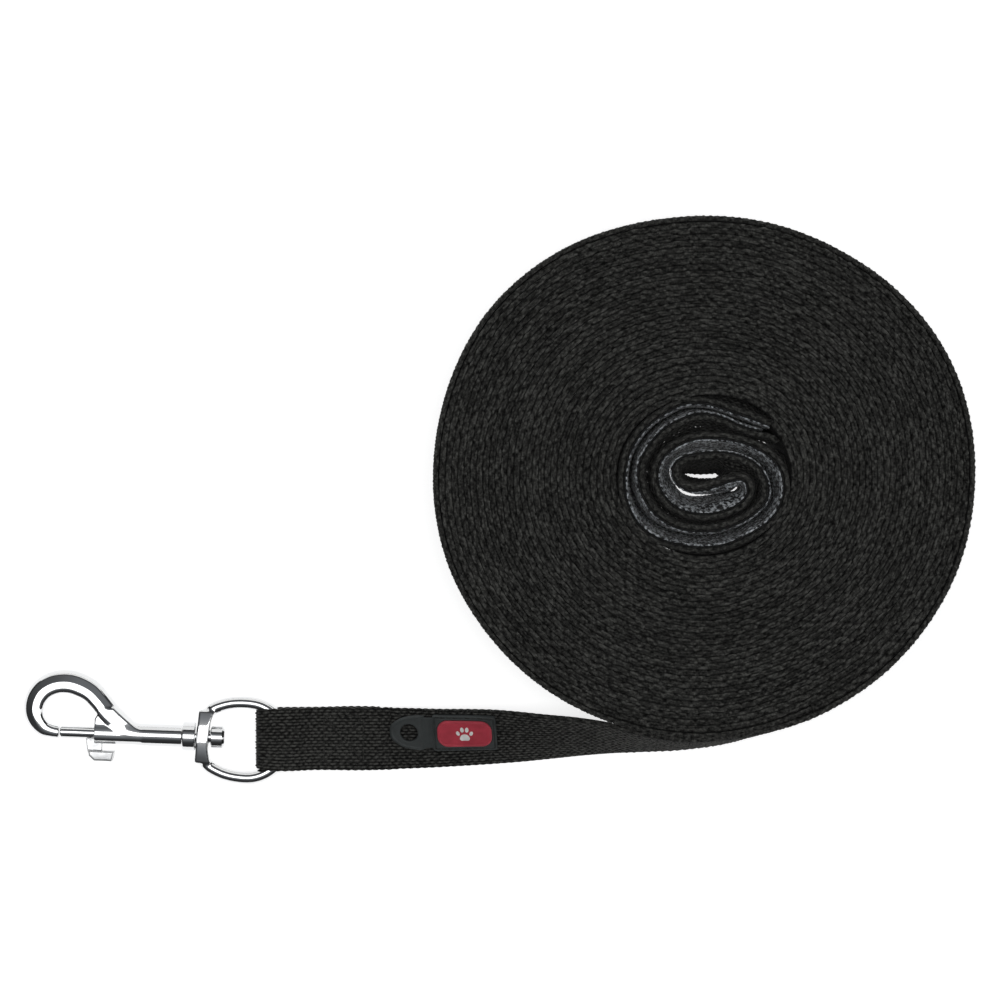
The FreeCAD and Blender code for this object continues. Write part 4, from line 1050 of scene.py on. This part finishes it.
FACET_E = np.linspace(-1, 1, 161)
FACET_H = np.interp(FACET_E, [-1.0, -0.97, -0.93, -0.86, -0.74, -0.55, -0.2, 0.03, 0.64, 0.70, 0.84, 0.94, 1.0], [0.0, 0.38, 0.62, 0.78, 0.895, 0.975, 0.995, 0.99, 0.755, 0.70, 0.50, 0.28, 0.0])
FACET_H = np.where(np.abs(FACET_E) < 0.93, blur(blur(FACET_H, 3), 3), FACET_H)


@cached2d
def hook_plan(x, y):
    d, (w, h, s_), left = line_fields(x, y, hl[:, :2], [hl[:, 2], hl[:, 3], hs])
    # the ring has a sloping facet on its outside and a flatter inside
    facet = np.clip(s_ / 8.0, 0, 1) * np.clip((60.0 - s_) / 14.0, 0, 1)
    e = d * left / w
    tall = np.interp(e, FACET_E, FACET_H)
    web = poly_dist(x, y, [(-35.05, -1.6), (-35.25, 1.7), (-35.1, 4.6), (-33.5, 7.6), (-29.0, 8.2), (-25.0, 4.8), (-22.0, 2.4), (-20.0, 1.0), (-20.0, -1.6)])
    return [d, w, h, s_, web, facet, tall]


def hook_form(x, y, z):
    d, w, h, s_, web, facet, tall = hook_plan(x, y)
    n = 2.35
    pipe = ((np.abs(d / w) ** n + np.abs(z / h) ** n) ** (1 / n) - 1.0) * np.minimum(w, h)
    cut = (np.abs(z) - h * tall) * 0.85 + np.maximum(d - w, 0)
    pipe = pipe * (1 - facet) + cut * facet
    pipe = np.where(s_ < 7.0, smax(pipe, x + 46.45, 0.45), pipe)
    r = np.hypot(y, z)
    barrel = smax(r - 3.62, np.maximum(-34.98 - x, x + 4.5), 0.3)
    collar = smax(r - 4.7, np.maximum(-6.75 - x, x + 2.55), 0.45)
    plate = smax(web, np.abs(z) - 2.9, 0.8)
    f = smin(pipe, barrel, 1.1)
    f = smin(f, plate, 0.9)
    f = smin(f, collar, 0.25)
    bore = np.maximum(r - 2.3, np.maximum(-36.5 - x, x + 7.4))
    front = np.maximum(np.maximum(-41.0 - x, x + 35.0), np.maximum(-6.0 - y, y - 4.2))
    slot = np.maximum(np.abs(z) - 1.42, np.maximum(y - 0.2, np.maximum(-37.0 - x, x + 20.8)))
    slot = np.maximum(slot, -6.5 - y)
    f = smax(f, -front, 0.18)
    f = smax(f, -bore, 0.25)
    f = smax(f, -slot, 0.25)
    return f


hook = new_object("snap_hook", form_mesh("snap_hook", hook_form, (-60, -6.2, -5.4), (-2.4, 21.4, 5.4), 0.26, snap_world), MAT_CHROME)
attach(hook, "snap")
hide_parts("hook_body")

# The spring inside the barrel, which in the real catch shortens as the bolt is drawn back, is copied here as it is,
# in chrome, on the snap's body.
spring_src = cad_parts["bolt_spring"]
spring = bpy.data.objects.new("catch_spring", spring_src.data.copy())
spring.data.materials.clear()
spring.data.materials.append(MAT_CHROME)
scene.collection.objects.link(spring)
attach(spring, "snap")
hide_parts("bolt_spring")
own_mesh(spring)

# Eye: the ring's wire runs out of a bowed, arched front bar.
RING = [(0.8, 7.6), (2.3, 9.2), (4.7, 10.45), (8.0, 11.5), (12.5, 12.0), (16.8, 11.65), (20.5, 10.1), (23.6, 7.4), (25.7, 4.0), (26.5, 0.0)]
ring_pts = RING + [(x, -y) for x, y in RING[-2::-1]]
rl = smooth_line(ring_pts, 10)


@cached2d
def ring_plan(x, y):
    d, _, _ = line_fields(x, y, rl, [])
    return [d]


def eye_form(x, y, z):
    (d,) = ring_plan(x, y)
    wire = np.hypot(d, z) - 2.05
    xc = -0.30 + 0.009 * y * y
    hz = 2.0 + 1.85 * np.cos(np.clip(y / 9.4, -1, 1) * math.pi / 2) ** 0.9
    bar = smax(smax(np.abs(x - xc) - (1.95 + 0.75 * (y / 8.6) ** 2), np.abs(z) - hz, 0.9), np.abs(y) - 8.75, 1.0)
    f = smin(wire, bar, 0.55)
    hole = np.hypot(y, z) - 2.5
    hole = np.maximum(hole, np.abs(x) - 6)
    return smax(f, -hole, 0.3)


eye = new_object("swivel_ring", form_mesh("swivel_ring", eye_form, (-4, -15, -5), (30, 15, 5), 0.28, eye_world), MAT_CHROME)
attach(eye, "eye")
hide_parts("swivel_eye")


# Thumb catch: a post on the bolt with a bevelled, slightly hollowed pad.
@cached2d
def catch_plan(x, y):
    post = poly_dist(x, y, [(-2.6, -1.5), (2.5, -1.5), (2.5, -6.4), (-2.0, -6.4), (-2.6, -3.0)])
    pad_ = poly_dist(x, y, [(-1.75, -5.6), (6.6, -5.6), (5.85, -8.85), (0.25, -8.85), (-1.5, -7.25)])
    return [post, pad_]


def catch_form(x, y, z):
    post, pad_ = catch_plan(x, y)
    a_ = smax(post, np.abs(z) - 1.2, 0.35)
    dip = 2.75 - 0.35 * np.exp(-(((x - 2.4) / 2.6) ** 2)) - 0.16 * (y + 5.6) ** 2 / 10.0
    b_ = smax(pad_, np.abs(z) - dip, 0.7)
    return smin(a_, b_, 0.4)


def catch_world(V):
    return snap_world(V + np.array([-35.0, 0.0, 0.0]))


MAT_CAST = chrome_material("chrome_cast", base=0.70, rough=0.30)
catch = new_object("thumb_catch_pad", form_mesh("thumb_catch_pad", catch_form, (-3.5, -10, -3.6), (7.8, -0.6, 3.6), 0.17, catch_world), MAT_CAST)
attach(catch, "bolt")
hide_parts("thumb_catch")

# -------------------------------------------------------------- the label ----
lead_from = int(np.searchsorted(sq, fold_mid)) + 12
LX, LP, LW, LU = P[lead_from:i_end, 0], P[lead_from:i_end], W[lead_from:i_end], U[lead_from:i_end]
_o = np.argsort(LX)
LX, LP, LW, LU = LX[_o], LP[_o], LW[_o], LU[_o]


def on_strap(V):
    """(along, across from the lower edge, height over the face) to the frame."""
    along_x = V[:, 0]
    q = [np.stack([np.interp(along_x, LX, M[:, k]) for k in range(3)], 1) for M in (LP, LW, LU)]
    out = q[0] + unit(q[1]) * (V[:, 1:2] - WIDE / 2) + unit(q[2]) * (V[:, 2:3] + HALF_T)
    return out + np.array([SX, SY, 0.0])


def box_d(x, y, hx, hy, r):
    qx, qy = np.abs(x) - hx + r, np.abs(y) - hy + r
    return np.minimum(np.maximum(qx, qy), 0) + np.hypot(np.maximum(qx, 0), np.maximum(qy, 0)) - r


def rubber_material(name, col, rough=0.55, grain=0.35):
    m = Mat(name)
    cloud = m.noise(m.space(), 180.0, 4.0, 0.6)
    pore = m.noise(m.space(), 3800.0, 2.0, 0.5)
    m.colour(m.mix(m.ramp(cloud, [(0.3, grey(0.0)), (0.75, grey(1.0))]), (col[0] * 0.8, col[1] * 0.8, col[2] * 0.8, 1), (col[0] * 1.2, col[1] * 1.2, col[2] * 1.2, 1)))
    m.rough(m.ramp(pore, [(0.3, grey(rough * 0.85)), (0.7, grey(min(1.0, rough * 1.2)))]))
    m.set(Specular_IOR_Level=0.3)
    m.normal(m.bump(m.mix(0.5, cloud, pore), grain, 0.00012))
    return m.mat


MAT_RUBBER = rubber_material("label_rubber", (0.046, 0.052, 0.052))
MAT_RED = rubber_material("label_red", (0.48, 0.050, 0.075), 0.45, 0.25)
MAT_PALE = rubber_material("label_pale", (0.82, 0.82, 0.80), 0.5, 0.25)
MAT_THREAD = webbing_material("thread", 0.010, 0.022, 0.050)

BADGE_X, BADGE_Y = -11.0, 12.6  # middle: along, across from the lower edge


def badge_form(x, y, z):
    u, v = x - BADGE_X, y - BADGE_Y
    body = smax(box_d(u, v, 10.15, 6.05, 0.7), np.abs(z - 0.80) - 0.80, 0.25)
    ring_ = np.abs(box_d(u, v, 9.5, 5.4, 0.4)) - 0.20
    body = smax(body, -np.maximum(ring_, 1.22 - z), 0.12)
    seat = smax(box_d(u, v, 8.95, 4.75, 3.7), 1.42 - z, 0.08)
    return smax(body, -seat, 0.10)


def emblem_form(x, y, z):
    u, v = x - BADGE_X, y - BADGE_Y
    edge = box_d(u, v, 8.75, 4.55, 3.5)
    body = smax(edge, np.abs(z - 1.55) - 0.38, 0.18)
    lip = smax(np.abs(edge + 0.42) - 0.28, np.abs(z - 1.72) - 0.42, 0.22)
    return np.minimum(body, lip)


def paw_form(x, y, z):
    u, v = x - BADGE_X, y - BADGE_Y
    pad_ = smin(np.hypot(u / 1.25, (v + 1.15) / 0.95) - 1.15, np.hypot(u - 0.95, v + 1.65) - 0.62, 0.5)
    pad_ = smin(pad_, np.hypot(u + 0.95, v + 1.65) - 0.62, 0.5)
    f = pad_
    for cx_, cy_, rot, ra, rb in ((-2.15, 0.25, 0.45, 0.56, 0.80), (-0.78, 1.50, 0.12, 0.58, 0.88), (0.78, 1.50, -0.12, 0.58, 0.88), (2.15, 0.25, -0.45, 0.56, 0.80)):
        c_, s2 = math.cos(rot), math.sin(rot)
        a_, b_ = (u - cx_) * c_ + (v - cy_) * s2, -(u - cx_) * s2 + (v - cy_) * c_
        f = np.minimum(f, (np.hypot(a_ / ra, b_ / rb) - 1) * ra)
    return smax(f, np.abs(z - 1.92) - 0.26, 0.20)


TAB_X, TAB_Y = -22.2, 12.6


def tab_form(x, y, z):
    u, v = x - TAB_X, y - TAB_Y
    out = poly_dist(u, v, TAB_OUT)
    body = smax(out, np.abs(z - 1.05) - 0.70, 0.35)
    rim = smax(np.abs(out + 0.55) - 0.35, np.abs(z - 1.10) - 0.82, 0.3)
    f = np.minimum(body, rim)
    # chamfered towards the hinge, so that it can stand up
    f = smax(f, ((z - 0.95) + 0.75 * (u + 1.9)) * 0.8, 0.2)
    hole = np.hypot(u + 6.6, v) - 2.85
    f = smax(f, -np.maximum(hole, np.abs(z - 1) - 3), 0.35)
    return f


def hinge_form(x, y, z):
    # the thin web of rubber between the plate and the tab
    u, v = x - TAB_X, y - TAB_Y
    thin = 0.30 + 0.10 * np.abs(np.clip(u + 0.4, -1.5, 1.5)) / 1.5
    return smax(box_d(u + 0.5, v, 1.95, 5.15, 0.25), np.abs(z - 0.80) - thin, 0.2)


_to = []
for px_, py_ in ((-1.6, 5.7), (-3.4, 5.75), (-5.2, 5.6), (-6.9, 5.3), (-8.7, 4.8), (-10.0, 4.15), (-11.0, 3.3), (-11.7, 2.3), (-12.1, 1.15), (-12.2, 0.0)):
    _to.append((px_, py_))
TAB_OUT = _to + [(a_, -b_) for a_, b_ in _to[-2::-1]]
_tl = smooth_line(np.array([(q[0], q[1]) for q in TAB_OUT]), 4)
TAB_OUT = [tuple(q) for q in _tl]

for nm, fn, lo, hi, h, mt, slot, body, node_ in (
    ("label_plate", badge_form, (-22.2, 5.9, -0.5), (0.4, 19.3, 2.1), 0.14, MAT_RUBBER, "rubber", "leash", "label_badge"),
    ("label_emblem_plate", emblem_form, (-20.2, 7.4, 0.8), (-1.6, 17.8, 2.6), 0.13, MAT_RED, "red_rubber", "leash", "label_emblem"),
    ("label_paw", paw_form, (-14.6, 9.2, 1.3), (-7.2, 16.2, 2.6), 0.085, MAT_PALE, "red_rubber", "leash", None),
    ("label_tab_piece", tab_form, (-35.8, 6.0, -0.1), (-21.8, 19.2, 2.4), 0.15, MAT_RUBBER, "rubber", "tab", "label_tab"),
):
    o = new_object(nm, form_mesh(nm, fn, lo, hi, h, on_strap), mt)
    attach(o, body)
    if node_:
        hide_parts(node_)


# the web between the plate and the tab (on the real label it bends as the tab is lifted), meshed in place and
# attached to no body
hinge_web = new_object("label_hinge", form_mesh("label_hinge", hinge_form, (-25.2, 6.6, -0.2), (-19.9, 18.6, 1.8), 0.13, on_strap), MAT_RUBBER)
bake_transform(hinge_web)


# -------------------------------------------------------------- stitching ----
def stitches(name, runs, radius, replaced, seed):
    """Runs of thread: each run is (start, end, outward) arrays in the frame, mm."""
    r = np.random.default_rng(seed)
    verts, quads, lay, painted_relief_light = [], [], [], []
    prof = [(-1.0, 0.25), (-0.85, 0.8), (-0.4, 1.0), (0.4, 1.0), (0.85, 0.8), (1.0, 0.25)]
    at, k = 0, 8
    caps = []
    for a_, b_, out in runs:
        a_, b_, out = (np.asarray(v, float) for v in (a_, b_, out))
        d = unit(b_ - a_)
        out = unit(out - d * np.dot(out, d))
        side = np.cross(d, out)
        mid, hl_ = (a_ + b_) / 2 + side * r.normal(0, 0.06), np.linalg.norm(b_ - a_) / 2
        for u, rr in prof:
            for q in range(k):
                ang = 2 * math.pi * q / k
                v = mid + d * hl_ * u + (side * math.cos(ang) + out * (math.sin(ang) * 0.8)) * radius * rr - out * radius * 0.9 * u * u
                verts.append(v)
                lay.append((hl_ * u, radius * math.cos(ang), radius * math.sin(ang)))
                # painted light and shade: the thread's side facing away from the strap is lighter, its underside the
                # darkest
                painted_relief_light.append(max(0.0, math.sin(ang)) * rr)
        for u in range(len(prof) - 1):
            for q in range(k):
                quads.append((at + u * k + q, at + u * k + (q + 1) % k, at + (u + 1) * k + (q + 1) % k, at + (u + 1) * k + q))
        caps.append([at + q for q in range(k - 1, -1, -1)])
        caps.append([at + (len(prof) - 1) * k + q for q in range(k)])
        at += len(prof) * k
    V_ = np.array(verts)
    me = raw_mesh(name, V_ * MM, np.array(quads), caps)
    bm = bmesh.new()
    bm.from_mesh(me)
    bmesh.ops.recalc_face_normals(bm, faces=bm.faces)
    bm.to_mesh(me)
    bm.free()
    t_ = me.attributes.new("lay", "FLOAT_VECTOR", "POINT")
    t_.data.foreach_set("vector", (np.array(lay) * MM).astype(np.float32).ravel())
    t_ = me.attributes.new("painted_relief_light", "FLOAT", "POINT")
    t_.data.foreach_set("value", np.array(painted_relief_light, np.float32))
    o = new_object(name, me, MAT_THREAD)
    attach(o, "leash")
    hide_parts(replaced)
    return o


def run_on(points, pitch, length, face_off):
    """Stitches along a line of (along, across) points on the lead's face."""
    p2 = np.array(points, float)
    q, t = resample(p2, 0.25)
    out = []
    for m_ in np.arange(pitch / 2, t[-1], pitch):
        ab = np.array([[np.interp(m_ + e_, t, q[:, 0]), np.interp(m_ + e_, t, q[:, 1]), face_off] for e_ in (-length / 2, length / 2)])
        w3 = on_strap(ab)
        up3 = on_strap(ab + np.array([0, 0, 1.0])) - w3
        out.append((w3[0], w3[1], up3[0]))
    return out


BX0, BX1, BY0, BY1 = -56.6, -43.9, 2.6, 17.4
runs = []
for line_ in ([(BX0, BY0), (BX1, BY0)], [(BX0, BY1), (BX1, BY1)], [(BX0, BY0), (BX0, BY1)], [(BX1, BY0), (BX1, BY1)], [(BX0, BY0), (BX1, BY1)], [(BX0, BY1), (BX1, BY0)]):
    runs += run_on(line_, 2.35, 1.85, 0.12)
stitches("snap_end_thread", runs, 0.30, "snap_end_stitching", 3)
runs = []
gx0, gx1, gy0, gy1 = BADGE_X - 9.85, BADGE_X + 9.85, BADGE_Y - 5.4, BADGE_Y + 5.4
for line_ in ([(gx0, gy0), (gx1, gy0)], [(gx0, gy1), (gx1, gy1)], [(gx0, gy0), (gx0, gy1)], [(gx1, gy0), (gx1, gy1)]):
    runs += run_on(line_, 2.0, 1.6, 1.33)
stitches("label_thread", runs, 0.17, "label_stitching", 4)


def loop_runs(ts_, zs, face_b, length):
    """Stitches on the loop strap's outer face."""
    out = []
    for z_ in zs:
        for m_ in ts_:
            ii = [int(np.clip(np.searchsorted(tl, m_ + e_), 1, len(tl) - 2)) for e_ in (-length / 2, length / 2)]
            p3 = [pl[i] + wl[i] * (z_ - 10) + nl[i] * face_b + np.array([SX, SY, 0]) for i in ii]
            out.append((p3[0], p3[1], -nl[ii[0]]))
    return out


stitches("loop_seam_thread", loop_runs(np.arange(12.0, tl[-1] - 18, 3.0), (2.9, 17.1), -(HALF_T + 0.06), 2.3), 0.22, "lining_stitching", 5)
stitches("loop_joint_thread", loop_runs(np.concatenate([np.arange(0.8, 9.5, 2.1)]), (2.2, 4.4, 6.6, 8.8, 11.0, 13.2, 15.4, 17.6), -(HALF_T + 0.06), 1.7), 0.26, "hand_loop_joint_stitching", 6)

for n in ("gate_bolt", "bolt_spring", "swivel_rivet"):
    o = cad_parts[n]
    for sl in o.material_slots:
        sl.material = MAT_CHROME

# ------------------------------------------------------ floor and lights ----
fl = bpy.data.meshes.new("floor")
fl.from_pydata([(-4, -4, 0), (4, -4, 0), (4, 4, 0), (-4, 4, 0)], [], [(0, 1, 2, 3)])
floor = bpy.data.objects.new("floor", fl)
scene.collection.objects.link(floor)
fm = Mat("floor_white")
fm.set(Base_Color=(0.72, 0.72, 0.72, 1), Roughness=0.9, Specular_IOR_Level=0.1,
       Emission_Color=(1, 1, 1, 1), Emission_Strength=0.74)
fl.materials.append(fm.mat)

world = bpy.data.worlds.new("world")
scene.world = world
world.use_nodes = True
wt = world.node_tree
bg = wt.nodes["Background"]
tc = wt.nodes.new("ShaderNodeTexCoord")
sep = wt.nodes.new("ShaderNodeSeparateXYZ")
wt.links.new(tc.outputs["Generated"], sep.inputs[0])
cr = wt.nodes.new("ShaderNodeValToRGB")
cr.color_ramp.elements[0].position = 0.0
cr.color_ramp.elements[0].color = grey(0.02)
cr.color_ramp.elements[1].position = 1.0
cr.color_ramp.elements[1].color = grey(0.50)
for pos, val in ((0.64, 0.035), (0.82, 0.10), (0.92, 0.24)):
    e = cr.color_ramp.elements.new(pos)
    e.color = grey(val, (0.96, 1.0, 1.05))
wt.links.new(sep.outputs["Z"], cr.inputs["Fac"])
wt.links.new(cr.outputs["Color"], bg.inputs["Color"])
bg.inputs["Strength"].default_value = 1.0


def area(name, loc, target, size, radiance, col=(1, 1, 1)):
    ld = bpy.data.lights.new(name, "AREA")
    ld.shape = "RECTANGLE"
    ld.size, ld.size_y = size
    ld.energy = radiance * math.pi * size[0] * size[1]
    ld.color = col
    o = bpy.data.objects.new(name, ld)
    scene.collection.objects.link(o)
    o.location = loc
    d = Vector(target) - Vector(loc)
    o.rotation_euler = d.to_track_quat("-Z", "Y").to_euler()
    return o


# a soft box overhead, a bright wall behind and a strip at the right
area("soft_box", (0.0, -0.05, 1.25), (0.0, 0.0, 0.0), (1.7, 0.62), 2.0)
area("back_wall", (0.0, 1.7, 0.62), (0.0, 0.0, 0.45), (3.6, 1.15), 0.92)
area("right_strip", (1.5, -0.3, 0.75), (0.0, 0.0, 0.0), (0.35, 1.4), 1.2)

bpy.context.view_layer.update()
